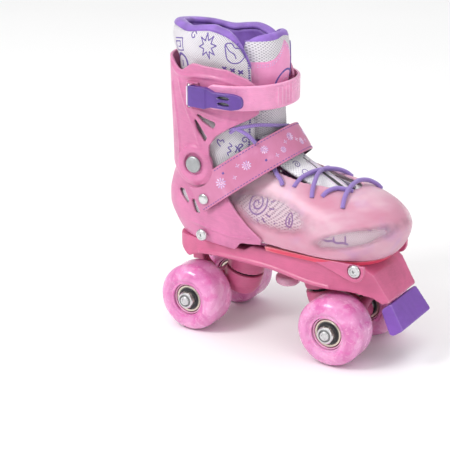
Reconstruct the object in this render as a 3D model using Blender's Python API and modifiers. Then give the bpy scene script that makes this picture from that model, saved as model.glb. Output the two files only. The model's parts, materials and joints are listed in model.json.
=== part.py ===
"""Child's adjustable quad roller skate, right foot.

Frame: toe towards +X, outer (lateral) side towards -Y, up +Z, ground at Z = 0, X = 0 midway
between the axles. All named sizes are in millimetres and become metres when a mesh is built.
"""

import math

import bmesh
import bpy
from mathutils import Matrix, Vector

MM = 0.001
SHIFT_X = -7.6  # moves the mid-wheelbase frame so that the whole skate is centred on X = 0

# Wheels and trucks
WHEELBASE = 126.0
WHEEL_R = 27.0
WHEEL_W = 32.0
TRACK_HALF = 32.5
TYRE_ROUND = 9.0
TYRE_BORE = 13.0
CORE_R = 12.7
BEARING_R = 11.0
SEAT_R = 11.5
BEARING_BORE = 4.25
BEARING_OUT = 12.0  # outer face of a bearing, from the wheel's middle
AXLE_R = 4.0
AXLE_HALF = 51.5
NUT_R = 6.9
NUT_BORE = 5.1  # at the corners: the hexagonal bore clears the thread
STEER_TILT = math.radians(15.0)  # steering axis rises outwards
KINGPIN_X = 39.0
KINGPIN_Z = 36.3
PIVOT_REACH = 39.5  # from the kingpin to the pivot cup

# Boot
ANKLE = (-58.0, 140.0)  # cuff pivot, X and Z
CUFF_HALF = 42.5
SHELL_T = 2.5
GAP = 0.3
PLATE_HALF = 35.0
DECK_Z = 75.3
FORE_DECK_Z = 79.2

PINK = (0.93, 0.36, 0.55, 1.0)
DEEP_PINK = (0.91, 0.24, 0.46, 1.0)
CLEAR_PINK = (0.93, 0.55, 0.68, 0.75)
PURPLE = (0.27, 0.12, 0.58, 1.0)
WHITE = (0.86, 0.85, 0.87, 1.0)
SILVER = (0.62, 0.62, 0.64, 1.0)
DARK = (0.05, 0.05, 0.06, 1.0)

for old in list(bpy.data.objects):
    bpy.data.objects.remove(old, do_unlink=True)

scene = bpy.context.scene
helpers = bpy.data.collections.new("cutters")
scene.collection.children.link(helpers)
helpers.hide_render = True


def material(name, color, rough, metal=0.0):
    mat = bpy.data.materials.new(name)
    mat.use_nodes = True
    shader = mat.node_tree.nodes["Principled BSDF"]
    shader.inputs["Base Color"].default_value = color
    shader.inputs["Roughness"].default_value = rough
    shader.inputs["Metallic"].default_value = metal
    shader.inputs["Alpha"].default_value = color[3]
    mat.diffuse_color = color
    return mat


def empty(name, pos, parent=None):
    """An empty at a joint's axis. Pieces that move on the joint are its children."""
    pivot = bpy.data.objects.new(name, None)
    scene.collection.objects.link(pivot)
    pivot.empty_display_size = 0.01
    place = Matrix.Translation(world(pos))
    if parent:
        pivot.parent = parent
        pivot.matrix_parent_inverse = parent.matrix_world.inverted()
    pivot.matrix_world = place
    bpy.context.view_layer.update()
    return pivot


def world(pos):
    return Vector(((pos[0] + SHIFT_X) * MM, pos[1] * MM, pos[2] * MM))


def hang(obj, pivot):
    if pivot:
        obj.parent = pivot
        obj.matrix_parent_inverse = pivot.matrix_world.inverted()
    return obj


def build(name, verts, faces, mat=None, pivot=None, cutter=False):
    """A mesh object from points in millimetres. Its faces are turned outwards."""
    mesh = bpy.data.meshes.new(name)
    mesh.from_pydata([world(v) for v in verts], [], faces)
    work = bmesh.new()
    work.from_mesh(mesh)
    bmesh.ops.recalc_face_normals(work, faces=work.faces)
    work.to_mesh(mesh)
    work.free()
    obj = bpy.data.objects.new(name, mesh)
    if cutter:
        helpers.objects.link(obj)
        obj.hide_render = True
        obj.display_type = "WIRE"
        return obj
    scene.collection.objects.link(obj)
    if mat:
        mesh.materials.append(mat)
    mesh.shade_smooth()
    mesh.set_sharp_from_angle(angle=math.radians(35))
    return hang(obj, pivot)


def boolean(obj, other, operation):
    mod = obj.modifiers.new(operation.lower(), "BOOLEAN")
    mod.operation = operation
    mod.solver = "EXACT"
    mod.object = other
    return obj


def cut(obj, *others):
    for other in others:
        boolean(obj, other, "DIFFERENCE")
    return obj


def keep(obj, *others):
    for other in others:
        boolean(obj, other, "INTERSECT")
    return obj


def join(obj, *others):
    for other in others:
        boolean(obj, other, "UNION")
    return obj


def rounded(corners, steps=3):
    """An outline whose corners (u, v, radius) are rounded with short arcs."""
    points = []
    count = len(corners)
    for i, (u, v, radius) in enumerate(corners):
        if radius <= 0:
            points.append((u, v))
            continue
        here = Vector((u, v))
        back = Vector(corners[i - 1][:2]) - here
        ahead = Vector(corners[(i + 1) % count][:2]) - here
        half = back.angle(ahead) / 2
        run = min(radius / math.tan(half), 0.49 * back.length, 0.49 * ahead.length)
        start = here + back.normalized() * run
        end = here + ahead.normalized() * run
        for k in range(steps + 1):
            t = k / steps
            point = start.lerp(here, t).lerp(here.lerp(end, t), t)
            points.append((point.x, point.y))
    return points


def prism(name, outline, low, high, along="Y", **kind):
    """A flat outline pushed along an axis. The outline is (X, Z), (X, Y) or (Y, Z)."""
    order = {
        "Y": lambda p, h: (p[0], h, p[1]),
        "Z": lambda p, h: (p[0], p[1], h),
        "X": lambda p, h: (h, p[0], p[1]),
    }[along]
    n = len(outline)
    verts = [order(p, h) for h in (low, high) for p in outline]
    sides = [(i, (i + 1) % n, n + (i + 1) % n, n + i) for i in range(n)]
    faces = sides + [tuple(range(n - 1, -1, -1)), tuple(range(n, 2 * n))]
    return build(name, verts, faces, **kind)


def box(name, low, high, **kind):
    outline = [(low[0], low[2]), (high[0], low[2]), (high[0], high[2]), (low[0], high[2])]
    return prism(name, outline, low[1], high[1], **kind)


def lathe(name, profile, steps, pos=(0, 0, 0), axis=(0, 0, 1), **kind):
    """A profile of (radius, height) turned about an axis. A radius of 0 closes the end."""
    turn = Vector((0, 0, 1)).rotation_difference(Vector(axis)).to_matrix()
    origin = Vector(pos)
    verts, rows = [], []
    for radius, height in profile:
        if radius == 0:
            rows.append([len(verts)] * steps)
            verts.append(origin + turn @ Vector((0, 0, height)))
            continue
        rows.append([len(verts) + k for k in range(steps)])
        for k in range(steps):
            a = 2 * math.pi * k / steps
            spot = Vector((radius * math.cos(a), radius * math.sin(a), height))
            verts.append(origin + turn @ spot)
    faces = []
    tube = profile[0][0] > 0
    for i in range(len(rows) - (0 if tube else 1)):
        one, two = rows[i], rows[(i + 1) % len(rows)]
        for k in range(steps):
            ring = (one[k], one[(k + 1) % steps], two[(k + 1) % steps], two[k])
            face = tuple(dict.fromkeys(ring))
            if len(face) > 2:
                faces.append(face)
    return build(name, [tuple(v) for v in verts], faces, **kind)


def power_cos(angle, power):
    value = math.cos(angle)
    return math.copysign(abs(value) ** (2 / power), value)


def foot_ring(level, grow, steps):
    """One level outline: (Z, rear X, widest X, front X, half width, rear power)."""
    z, rear, wide, front, half, power = level
    points = []
    for k in range(steps):
        a = 2 * math.pi * k / steps
        ahead = math.cos(a) > 0
        reach = (front - wide if ahead else wide - rear) + grow
        n = 2.2 if ahead else power
        x = wide + reach * power_cos(a, n)
        y = (half + grow) * power_cos(a - math.pi / 2, n)
        points.append((x, y, z))
    return points


def loft(name, levels, grow=0.0, steps=40, wall=0.0, open_ends=False, **kind):
    """Level outlines joined into one skin. With a wall, the skin is thickened inwards."""
    rings = [foot_ring(level, grow, steps) for level in levels]
    verts = [p for ring in rings for p in ring]
    faces = []
    for i in range(len(rings) - 1):
        for k in range(steps):
            j = (k + 1) % steps
            faces.append((i * steps + k, i * steps + j, (i + 1) * steps + j, (i + 1) * steps + k))
    if not open_ends or wall == 0:
        faces.append(tuple(range(steps - 1, -1, -1)))
        faces.append(tuple(range((len(rings) - 1) * steps, len(rings) * steps)))
    obj = build(name, verts, faces, **kind)
    if wall:
        solid = obj.modifiers.new("wall", "SOLIDIFY")
        solid.thickness = wall * MM
        solid.offset = -1.0
        solid.use_even_offset = True
    return obj


def band(name, path, thick, low, high, **kind):
    """An upright strap: a path of (X, Y) with a thickness outwards and its own edge heights."""
    count = len(path)
    outer = []
    for i, (x, y) in enumerate(path):
        before = Vector(path[max(i - 1, 0)])
        after = Vector(path[min(i + 1, count - 1)])
        run = (after - before).normalized()
        depth = thick(i) if callable(thick) else thick
        outer.append((x + run.y * depth, y - run.x * depth))
    verts = []
    for i in range(count):
        for side, edge in ((path, low), (path, high), (outer, high), (outer, low)):
            verts.append((*side[i], edge(i)))
    faces = [(3, 2, 1, 0), tuple(4 * (count - 1) + k for k in range(4))]
    for i in range(count - 1):
        for k in range(4):
            a, b = 4 * i + k, 4 * i + (k + 1) % 4
            faces.append((a, b, b + 4, a + 4))
    return build(name, verts, faces, **kind)


def tube(name, points, radius, mat, pivot):
    """A round cord through its points, with closed ends."""
    curve = bpy.data.curves.new(name, "CURVE")
    curve.dimensions = "3D"
    curve.bevel_depth = radius * MM
    curve.bevel_resolution = 0
    curve.resolution_u = 3
    curve.use_fill_caps = True
    spline = curve.splines.new("NURBS")
    spline.points.add(len(points) - 1)
    for spot, place in zip(spline.points, points):
        spot.co = (*world(place), 1.0)
    spline.order_u = 3
    spline.use_endpoint_u = True
    curve.materials.append(mat)
    obj = bpy.data.objects.new(name, curve)
    scene.collection.objects.link(obj)
    return hang(obj, pivot)


shell_mat = material("shell_pink", PINK, 0.32)
deep_mat = material("plate_pink", DEEP_PINK, 0.32)
clear_mat = material("toe_clear_pink", CLEAR_PINK, 0.2)
purple_mat = material("purple_plastic", PURPLE, 0.4)
fabric_mat = material("white_mesh", WHITE, 0.9)
lining_mat = material("purple_lining", (0.36, 0.2, 0.70, 1.0), 0.6)
strap_mat = material("strap_pink", (0.93, 0.45, 0.66, 1.0), 0.45)
lace_mat = material("lace_purple", (0.33, 0.2, 0.72, 1.0), 0.7)
steel_mat = material("steel", SILVER, 0.28, 1.0)
seal_mat = material("bearing_dark", DARK, 0.45)
tyre_mat = material("wheel_pink", (0.93, 0.42, 0.68, 0.85), 0.25)
core_mat = material("core_pink", (0.9, 0.5, 0.68, 1.0), 0.4)
rubber_mat = material("cushion_rubber", (0.08, 0.07, 0.09, 1.0), 0.7)
stop_mat = material("stop_purple", (0.30, 0.13, 0.56, 1.0), 0.6)

# Levels of the boot's inner skin: Z, rear X, widest X, front X, half width, rear power.
HEEL = [
    (75.6, -84.0, 45.0, 93.0, 38.5, 3.0),
    (84.0, -89.5, 45.0, 98.0, 40.9, 3.0),
    (98.0, -96.5, 45.0, 103.0, 41.7, 3.0),
    (110.0, -97.0, 40.0, 101.0, 41.0, 2.9),
    (122.0, -95.0, -8.0, 70.0, 37.3, 2.5),
    (130.0, -90.8, -40.0, 20.0, 36.1, 2.4),
    (138.0, -88.6, -46.0, 2.0, 36.2, 2.4),
    (158.0, -89.2, -46.0, -3.0, 36.3, 2.4),
]
LEG = [
    (118.0, -88.8, -46.0, 2.0, 36.3, 2.4),
    (140.0, -88.8, -46.0, -1.0, 36.3, 2.4),
    (163.0, -89.5, -46.0, -4.0, 36.3, 2.4),
    (195.0, -91.0, -46.0, -6.0, 36.3, 2.4),
    (226.0, -91.6, -46.0, -6.5, 36.5, 2.4),
]
TOE = [
    (79.0, -96.0, 45.0, 90.0, 38.5, 2.4),
    (84.0, -96.0, 45.0, 95.0, 40.8, 2.4),
    (90.0, -96.0, 45.0, 99.5, 42.0, 2.4),
    (98.0, -96.0, 45.0, 103.0, 42.4, 2.4),
    (105.0, -96.0, 45.0, 104.2, 41.9, 2.4),
    (111.0, -96.0, 42.0, 102.2, 40.4, 2.4),
    (116.5, -96.0, 36.0, 98.0, 38.0, 2.4),
    (121.5, -96.0, 28.0, 92.0, 35.2, 2.3),
    (126.0, -96.0, 17.0, 83.0, 32.2, 2.2),
    (129.5, -96.0, 5.0, 72.0, 29.8, 2.2),
    (133.5, -96.0, -12.0, 50.0, 27.5, 2.2),
    (139.0, -96.0, -30.0, 22.0, 26.5, 2.2),
]


def level_at(levels, z):
    """The level outline at any height between two given ones."""
    for low, high in zip(levels, levels[1:]):
        if low[0] <= z <= high[0]:
            t = (z - low[0]) / (high[0] - low[0])
            return tuple(a + (b - a) * t for a, b in zip(low, high))
    return levels[0] if z < levels[0][0] else levels[-1]


# ---------------------------------------------------------------- plate and its trucks
def truck_frame(end):
    """Kingpin centre, outward steering direction and kingpin direction. end: -1 rear, 1 front."""
    centre = Vector((end * KINGPIN_X, 0, KINGPIN_Z))
    out = Vector((end * math.cos(STEER_TILT), 0, math.sin(STEER_TILT)))
    up = Vector((-end * math.sin(STEER_TILT), 0, math.cos(STEER_TILT)))
    return centre, out, up


PLATE_SIDE = rounded(
    [
        (-72, 57.5, 3), (-82, 65, 4), (-85, 70.5, 2), (-85, DECK_Z, 1.5), (-17, DECK_Z, 0),
        (-11, FORE_DECK_Z, 0), (80, FORE_DECK_Z, 3), (90, 73, 4), (103.4, 53.2, 1.5),
        (97.0, 50.6, 1.5), (90, 54.5, 3), (74, 57.6, 4), (40, 58.5, 6), (7, 63.5, 8),
        (-52, 64.5, 6), (-64, 61.5, 5),
    ],
    2,
)
PLATE_PLAN = rounded(
    [
        (-88, -14, 12), (-80, -29, 12), (-62, -33.5, 12), (-20, -PLATE_HALF, 0),
        (58, -PLATE_HALF, 10), (88, -26, 8), (106, -22.5, 0), (106, 22.5, 0), (88, 26, 8),
        (58, PLATE_HALF, 10), (-20, PLATE_HALF, 0), (-62, 33.5, 12), (-80, 29, 12),
        (-88, 14, 12),
    ],
    2,
)
PLATE_HOLLOW = [
    (-79, -14), (-73, -24), (-60, -30), (-20, -31.8), (56, -31.8), (80, -24), (91, -20),
    (91, 20), (80, 24), (56, 31.8), (-20, 31.8), (-60, 30), (-73, 24), (-79, 14),
]
plate = prism("plate", PLATE_SIDE, -40, 40, mat=deep_mat)
keep(plate, prism("cut_plate_plan", PLATE_PLAN, 40, 90, "Z", cutter=True))
hollow = [
    (-91, 40), (-79, 60), (-79, 71.5), (-18, 71.5), (-12, 75.5), (78, 75.5), (86, 70), (93, 58),
    (93, 40),
]
under = prism("cut_plate_under", hollow, -38, 38, cutter=True)
keep(under, prism("cut_plate_inner", PLATE_HOLLOW, 30, 95, "Z", cutter=True))
cut(plate, under)
for end, tag in ((-1, "rear"), (1, "front")):
    centre, out, up = truck_frame(end)
    boss = lathe(
        f"add_boss_{tag}", [(0, 10.4), (15.5, 10.4), (17.5, 36), (0, 36)],
        16, centre, up, cutter=True,
    )
    boss_top = 73.5 if end < 0 else 77.5
    trim = box(f"cut_boss_{tag}", (-120, -40, 40), (120, 40, boss_top), cutter=True)
    join(plate, keep(boss, trim))
    foot = centre + out * PIVOT_REACH
    socket = prism(
        f"add_pivot_{tag}",
        [(foot.x - end * 4.5, foot.z - 1.0), (foot.x + end * 6.5, foot.z - 1.0),
         (foot.x + end * 6.5, 73), (foot.x - end * 4.5, 73)],
        -7, 7, cutter=True,
    )
    join(plate, socket)
for end, tag in ((-1, "rear"), (1, "front")):
    centre, out, up = truck_frame(end)
    pocket = lathe(
        f"cut_boss_pocket_{tag}",
        [(0, 5), (11.8, 5), (11.8, 16), (4.4, 16), (4.4, 25), (0, 25)],
        14, centre, up, cutter=True,
    )
    ball = lathe(
        f"cut_pivot_{tag}", [(0, -16), (9.5, -16), (5.8, -1), (4.2, 3.5), (0, 5.4)],
        12, centre + out * PIVOT_REACH, up, cutter=True,
    )
    cut(plate, pocket, ball)
# Screw slots of the size adjustment and a weight-saving window in the heel deck
cut(
    plate,
    box("cut_deck_slot", (-12, -3.2, 60), (18, 3.2, 90), cutter=True),
    box("cut_deck_heel", (-78, -12, 68), (-60, 12, 90), cutter=True),
)

toe_slide = empty("toe_slide_pivot", (45, 0, 82))
cuff_pivot = empty("cuff_pivot", (ANKLE[0], 0, ANKLE[1]))
adjust_pivot = empty("adjust_pivot", (3, 0, 45))

for end, tag in ((-1, "rear"), (1, "front")):
    centre, out, up = truck_frame(end)
    steer = empty(f"steer_{tag}_pivot", centre)
    axle_spot = Vector((end * WHEELBASE / 2, 0, WHEEL_R))
    ball_spot = centre + out * PIVOT_REACH
    hanger = lathe(
        f"hanger_{tag}", [(0, -10), (10, -10), (12.8, -8.2), (15.3, -2), (15.6, 8.2), (0, 8.2)],
        18, centre, up, mat=deep_mat, pivot=steer,
    )
    sleeve = lathe(
        f"add_sleeve_{tag}",
        [(0, -15.9), (8.2, -15.9), (9.0, -12), (9.0, 12), (8.2, 15.9), (0, 15.9)],
        14, axle_spot, (0, 1, 0), cutter=True,
    )
    web = prism(
        f"add_web_{tag}",
        [(end * 44, 30), (end * 56, 21), (end * 66, 20), (end * 70, 30), (end * 66, 36),
         (end * 54, 42), (end * 46, 42)],
        -9, 9, cutter=True,
    )
    pin = lathe(
        f"add_pivot_pin_{tag}", [(0, -20), (6.0, -20), (3.6, -4), (4.0, 0), (2.8, 2.8), (0, 4.0)],
        12, ball_spot, (ball_spot - axle_spot).normalized(), cutter=True,
    )
    bore = lathe(
        f"cut_hanger_{tag}",
        [(0, -14), (8.6, -14), (8.6, -3.6), (5.4, -3.6), (5.4, 3.0), (11.8, 3.0), (11.8, 14),
         (0, 14)],
        14, centre, up, cutter=True,
    )
    drill = lathe(
        f"cut_axle_{tag}", [(0, -20), (AXLE_R + GAP, -20), (AXLE_R + GAP, 20), (0, 20)],
        12, axle_spot, (0, 1, 0), cutter=True,
    )
    join(hanger, sleeve, web, pin)
    cut(hanger, bore, drill)
    lathe(
        f"cushion_upper_{tag}",
        [(4.8, 4.2), (10.4, 4.2), (10.8, 5.4), (10.2, 9.3), (10.8, 13.8), (10.6, 15.4),
         (4.8, 15.4)],
        12, centre, up, mat=rubber_mat,
    )
    lathe(
        f"cushion_lower_{tag}", [(4.6, -6.8), (7.4, -6.8), (7.7, -5.6), (7.4, -4.5), (4.6, -4.5)],
        12, centre, up, mat=rubber_mat,
    )
    lathe(
        f"kingpin_{tag}",
        [(0, -12.6), (3.2, -12.6), (3.2, -11.6), (6.2, -11.6), (6.2, -8.2), (7.4, -8.2),
         (7.4, -7.2), (AXLE_R, -7.2), (AXLE_R, 24), (0, 24)],
        12, centre, up, mat=steel_mat,
    )
    lathe(
        f"axle_{tag}",
        [(0, -AXLE_HALF), (2.4, -AXLE_HALF), (AXLE_R, -50.4), (AXLE_R, -20.1),
         (5.6, -20.1), (5.6, -16.3), (AXLE_R, -16.3), (AXLE_R, 16.3), (5.6, 16.3), (5.6, 20.1),
         (AXLE_R, 20.1), (AXLE_R, 50.4), (2.4, AXLE_HALF), (0, AXLE_HALF)],
        12, axle_spot, (0, 1, 0), mat=steel_mat, pivot=steer,
    )
    for side, hand in ((-1, "outer"), (1, "inner")):
        middle = Vector((axle_spot.x, side * TRACK_HALF, WHEEL_R))
        spin = empty(f"spin_{tag}_{hand}_pivot", middle, steer)
        flat = WHEEL_W / 2
        tread = []
        for a in (0, 0.6, 1.1, 1.571):
            in_by = TYRE_ROUND * (1 - math.sin(a))
            tread.append((flat - in_by, WHEEL_R - TYRE_ROUND * (1 - math.cos(a))))
        face = [(r, h) for h, r in tread] + [(TYRE_BORE + 1.2, flat - 0.6)]
        profile = (
            [(TYRE_BORE, -12.5)] + [(r, -h) for r, h in reversed(face)] + face + [(TYRE_BORE, 12.5)]
        )
        lathe(f"tyre_{tag}_{hand}", profile, 24, middle, (0, side, 0), mat=tyre_mat, pivot=spin)
        lathe(
            f"core_{tag}_{hand}",
            [(SEAT_R, -12.4), (CORE_R, -12.4), (CORE_R, 12.4), (SEAT_R, 12.4),
             (SEAT_R, 4.7), (8.5, 4.7), (8.5, -4.7), (SEAT_R, -4.7)],
            16, middle, (0, side, 0), mat=core_mat, pivot=spin,
        )
        for face_side, where in ((1, "out"), (-1, "in")):
            low, high = sorted((face_side * 5.0, face_side * BEARING_OUT))
            lathe(
                f"bearing_{tag}_{hand}_{where}",
                [(BEARING_BORE, low), (BEARING_R, low), (BEARING_R, high), (BEARING_BORE, high)],
                14, middle, (0, side, 0), mat=seal_mat, pivot=spin,
            )
        lathe(
            f"axle_nut_{tag}_{hand}",
            [(NUT_BORE, 12.4), (6.2, 12.4), (NUT_R, 13.2), (NUT_R, 16.2), (6.0, 17.8),
             (NUT_BORE, 17.8)],
            6, middle, (0, side, 0), mat=steel_mat, pivot=steer,
        )

# ---------------------------------------------------------------- toe stop and adjuster
lathe(
    "toe_stop_bolt", [(0, 0), (5.0, 0), (5.0, 2.4), (2.0, 2.4), (0, 2.4)], 12,
    (102.0, 0, 34.5), (-0.62, 0, -0.78), mat=steel_mat,
)
stop = prism(
    "toe_stop",
    rounded([(103.4, 52.4, 1.5), (116.0, 34.2, 1.5), (106.0, 26.8, 3), (96.0, 46.0, 2)], 2),
    -29.5, 29.5, mat=stop_mat,
)
keep(stop, prism("cut_stop_taper", [(-22.2, 53), (-26.5, 26), (26.5, 26), (22.2, 53)], 80, 120, "X",
                 cutter=True))
cut(stop, lathe("cut_stop_bolt", [(0, -0.4), (6, -0.4), (6, 8), (0, 8)], 12, (102.0, 0, 34.5),
                (-0.62, 0, -0.78), cutter=True))
lathe(
    "adjust_knob",
    [(0, -6.5), (6.5, -6.5), (9.4, -4.6), (10.0, -1.5), (9.4, 1.2), (4.4, 2.4), (2.9, 3.2),
     (2.9, 28), (0, 28)],
    20, (3, 0, 45.5), mat=core_mat, pivot=adjust_pivot,
)

# ---------------------------------------------------------------- toe carriage
base = loft("toe_base", [level_at(TOE, 79.5), level_at(TOE, 83.6)], -0.4, 36, mat=shell_mat,
            pivot=toe_slide)
keep(base, box("cut_base_rear", (4, -50, 60), (110, 50, 95), cutter=True))
FLAP = rounded(
    [(44, 84, 0), (44, 81, 1), (60, 76, 6), (73, 71.5, 5), (80, 69.6, 8), (86, 72, 5),
     (88, 77, 3), (88, 83.4, 0)],
    2,
)
for side, hand in ((-1, "outer"), (1, "inner")):
    flap = prism(f"add_flap_{hand}", [(x, min(z, 83.4)) for x, z in FLAP],
                 *sorted((side * 35.6, side * 38.6)), cutter=True)
    join(base, flap)
    cut(base, lathe(f"cut_flap_{hand}", [(0, 0), (5.6, 0), (5.6, 5), (0, 5)], 16,
                    (80, side * 37.0, 78.6), (0, side, 0), cutter=True))
    lathe(
        f"toe_bolt_{hand}",
        [(0, 0.3), (5.0, 0.3), (5.2, 1.6), (4.2, 2.9), (2.6, 2.9), (2.0, 1.2), (0, 1.2)], 16,
        (80, side * 37.0, 78.6), (0, side, 0), mat=steel_mat, pivot=toe_slide,
    )

TOE_SIDE = rounded(
    [
        (-33, 108, 4), (-24, 93, 6), (4, 86.5, 12), (26, 85.2, 20), (50, 84.5, 20), (80, 84, 10),
        (112, 84, 0), (112, 150, 0), (2, 150, 0), (-14, 138, 6), (-20, 132, 4), (-33, 119, 4),
    ],
    3,
)
THROAT = rounded([(-60, -21, 0), (28, -21, 16), (61, -12, 12), (64, 0, 12), (61, 12, 12),
                  (28, 21, 16), (-60, 21, 0)], 3)
cap = loft("toe_cap", TOE, 0.0, 36, wall=2.2, open_ends=True, mat=clear_mat, pivot=toe_slide)
keep(cap, prism("cut_cap_side", TOE_SIDE, -50, 50, cutter=True))
cut(cap, prism("cut_throat", THROAT, 112, 160, "Z", cutter=True))

SOCK_DROP = 4.0  # the sock's top lies this far below the cap's
SOCK = [(z - SOCK_DROP * min(1.0, max(0.0, (z - 105) / 12)), *more) for z, *more in TOE[1:]]
sock = loft("liner_toe", SOCK, -2.8, 32, wall=2.4, open_ends=True, mat=fabric_mat,
            pivot=toe_slide)
SOCK_SIDE = [(-28, 85.2), (110, 85.2), (110, 150), (-4, 150), (-28, 106)]
keep(sock, prism("cut_sock_side", SOCK_SIDE, -50, 50, cutter=True))
SOCK_THROAT = [(-60, -19), (26, -19), (56, -11), (59, 0), (56, 11), (26, 19), (-60, 19)]
cut(sock, prism("cut_sock_throat", SOCK_THROAT, 108, 160, "Z", cutter=True))

# ---------------------------------------------------------------- heel shell
SHELL_SIDE = rounded(
    [
        (-110, DECK_Z + GAP, 0), (-23, DECK_Z + GAP, 2), (-16, 83, 3), (2.5, 85.4, 1.5),
        (3.5, 90, 2), (-9, 98.5, 8), (-20, 108, 8), (-31, 119, 6), (-42, 129, 5), (-44, 146, 8),
        (-52, 152, 8), (-61, 150, 8), (-72, 141, 8), (-80, 131.5, 6), (-110, 131.5, 0),
    ],
    3,
)
shell = loft("heel_shell", HEEL, 3.3, 36, wall=SHELL_T, open_ends=True, mat=shell_mat)
keep(shell, prism("cut_shell_side", SHELL_SIDE, -50, 50, cutter=True))
floor = [level_at(HEEL, 75.6), level_at(HEEL, 79.4)]
slab = loft("add_shell_floor", floor, 2.0, 36, cutter=True)
keep(slab, box("cut_slab", (-100, -45, DECK_Z + GAP), (-25, 45, 79.0), cutter=True))
join(shell, slab)
SHELL_SLOTS = (
    [(-81, 113.5), (-74, 114.5), (-67, 106), (-69.5, 104), (-76.5, 108.5)],
    [(-65, 109.5), (-61.5, 109), (-54.5, 99.5), (-60, 98.5)],
)
for i, slot in enumerate(SHELL_SLOTS):
    cut(shell, prism(f"cut_shell_slot_{i}", slot, -60, 60, cutter=True))
cut(shell, box("cut_shell_inner_gap", (-78, -12, 74), (-60, 12, 82), cutter=True))

# ---------------------------------------------------------------- cuff
CUFF_SIDE = rounded(
    [
        (-110, 138.5, 0), (-90, 136.5, 8), (-77, 128, 6), (-71, 124, 5), (-58, 121.5, 10),
        (-45, 126, 8), (-40.5, 138, 6), (-44.5, 148, 5), (-45, 156, 5), (-39, 164.5, 6),
        (-27, 172.5, 12), (-14, 179.5, 3), (-9.5, 183, 2), (-9.5, 203, 4), (-16, 210, 5), (-30, 217, 12),
        (-60, 219, 8), (-73, 210.5, 8), (-86, 219, 8), (-110, 221, 0),
    ],
    3,
)
cuff = loft("cuff", LEG, 6.2, 36, wall=SHELL_T, open_ends=True, mat=shell_mat, pivot=cuff_pivot)
keep(cuff, prism("cut_cuff_side", CUFF_SIDE, -60, 60, cutter=True))
CUFF_SLOTS = (
    [(-56.5, 179), (-38.0, 174.8), (-40.5, 170.2)],
    [(-57.5, 175.5), (-46.8, 163.2), (-48.5, 159.5)],
)
for i, slot in enumerate(CUFF_SLOTS):
    cut(cuff, prism(f"cut_cuff_slot_{i}", slot, -60, 60, cutter=True))

P = (ANKLE[0], 0, ANKLE[1])
drill = lathe("cut_ankle_cuff", [(0, -60), (3.9, -60), (3.9, 60), (0, 60)], 20, P, (0, 1, 0),
              cutter=True)
cut(cuff, drill)
cut(shell, drill)
for side, hand in ((-1, "outer"), (1, "inner")):
    lathe(
        f"ankle_rivet_{hand}",
        [(0, 36.8), (3.5, 36.8), (3.5, CUFF_HALF + GAP), (7.4, CUFF_HALF + GAP),
         (7.5, CUFF_HALF + 1.6), (6.6, CUFF_HALF + 2.6), (3.5, CUFF_HALF + 3.1),
         (0, CUFF_HALF + 3.2)],
        20, P, (0, side, 0), mat=steel_mat,
    )
    lathe(
        f"heel_bolt_{hand}",
        [(0, 40.9), (4.9, 40.9), (5.0, 42.0), (4.0, 43.0), (2.4, 43.0), (1.8, 41.7), (0, 41.7)],
        14, (-52, 0, 82.6), (0, side, 0), mat=steel_mat,
    )

# ---------------------------------------------------------------- soft boot
liner = loft("liner", [level_at(HEEL, z) for z in (79.8, 84, 98, 110, 122, 130, 138, 150)], 0.0, 32,
             wall=2.6, open_ends=True, mat=fabric_mat)
LINER_SIDE = rounded(
    [(-100, 79.5, 0), (-37, 79.5, 0), (-37, 120, 6), (-22, 140, 6), (-26, 148.5, 4),
     (-100, 148.5, 0)],
    2,
)
keep(liner, prism("cut_liner_side", LINER_SIDE, -50, 50, cutter=True))
cut(liner, box("cut_liner_throat", (-36, -21, 112), (60, 21, 160), cutter=True))

# Padded collar. Its narrow lower part sits inside the lower liner and turns with the cuff.
COLLAR_LEAN = 0.13
COLLAR = [
    (128.0, -82.5, -46.0, -4.0, 31.8, 2.4),
    (150.0, -83.6, -46.0, -6.0, 32.4, 2.4),
    (162.0, -86.8, -46.0, -6.0, 35.9, 2.4),
    (200.0, -89.2, -46.0, -7.5, 35.9, 2.4),
    (218.0, -89.6, -46.0, -8.0, 36.0, 2.4),
    (228.0, -94.5, -46.0, -8.5, 37.3, 2.4),
    (236.0, -97.0, -46.0, -9.5, 36.6, 2.4),
    (243.0, -96.0, -46.0, -10.5, 33.6, 2.4),
    (249.0, -93.0, -46.0, -12.0, 30.0, 2.4),
]
COLLAR_SIDE = rounded(
    [(-84, 124, 0), (-44, 124, 4), (-34, 148, 10), (-24, 168, 10), (-17.5, 188, 10),
     (-17, 211, 8), (-20, 226, 10), (-27, 237.5, 10), (-46, 244.0, 14), (-70, 241, 12),
     (-84, 244.5, 8), (-112, 245.5, 0), (-112, 124, 0)],
    2,
)
collar = loft("collar", COLLAR, 0.0, 28, wall=4.0, open_ends=True, mat=fabric_mat,
              pivot=cuff_pivot)
collar_cut = prism("cut_collar_side", COLLAR_SIDE, -50, 50, cutter=True)
for spot in collar_cut.data.vertices:  # the inner side of the collar stands lower
    spot.co.z -= COLLAR_LEAN * spot.co.y
keep(collar, collar_cut)


def pad(name, rows, columns, mat, pivot=None):
    """A padded tongue. A row is (X, Z, slope, half width, set-back of its edges, thickness)."""
    verts = []
    for x, z, slope, half, sag, thick in rows:
        out = Vector((math.sin(math.radians(slope)), 0, math.cos(math.radians(slope))))
        for face in (0, 1):
            for k in range(columns + 1):
                t = 2 * k / columns - 1
                depth = sag * t * t + face * thick * (1 - 0.55 * t * t)
                spot = Vector((x, half * t, z)) - out * depth
                verts.append(tuple(spot))
    width = 2 * (columns + 1)
    faces = []
    for i in range(len(rows)):
        loop = [i * width + k for k in range(columns + 1)]
        loop += [i * width + width - 1 - k for k in range(columns + 1)]
        if i in (0, len(rows) - 1):
            faces.append(tuple(loop))
        if i < len(rows) - 1:
            for k, a in enumerate(loop):
                b = loop[(k + 1) % len(loop)]
                faces.append((a, b, b + width, a + width))
    return build(name, verts, faces, mat=mat, pivot=pivot)


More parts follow.
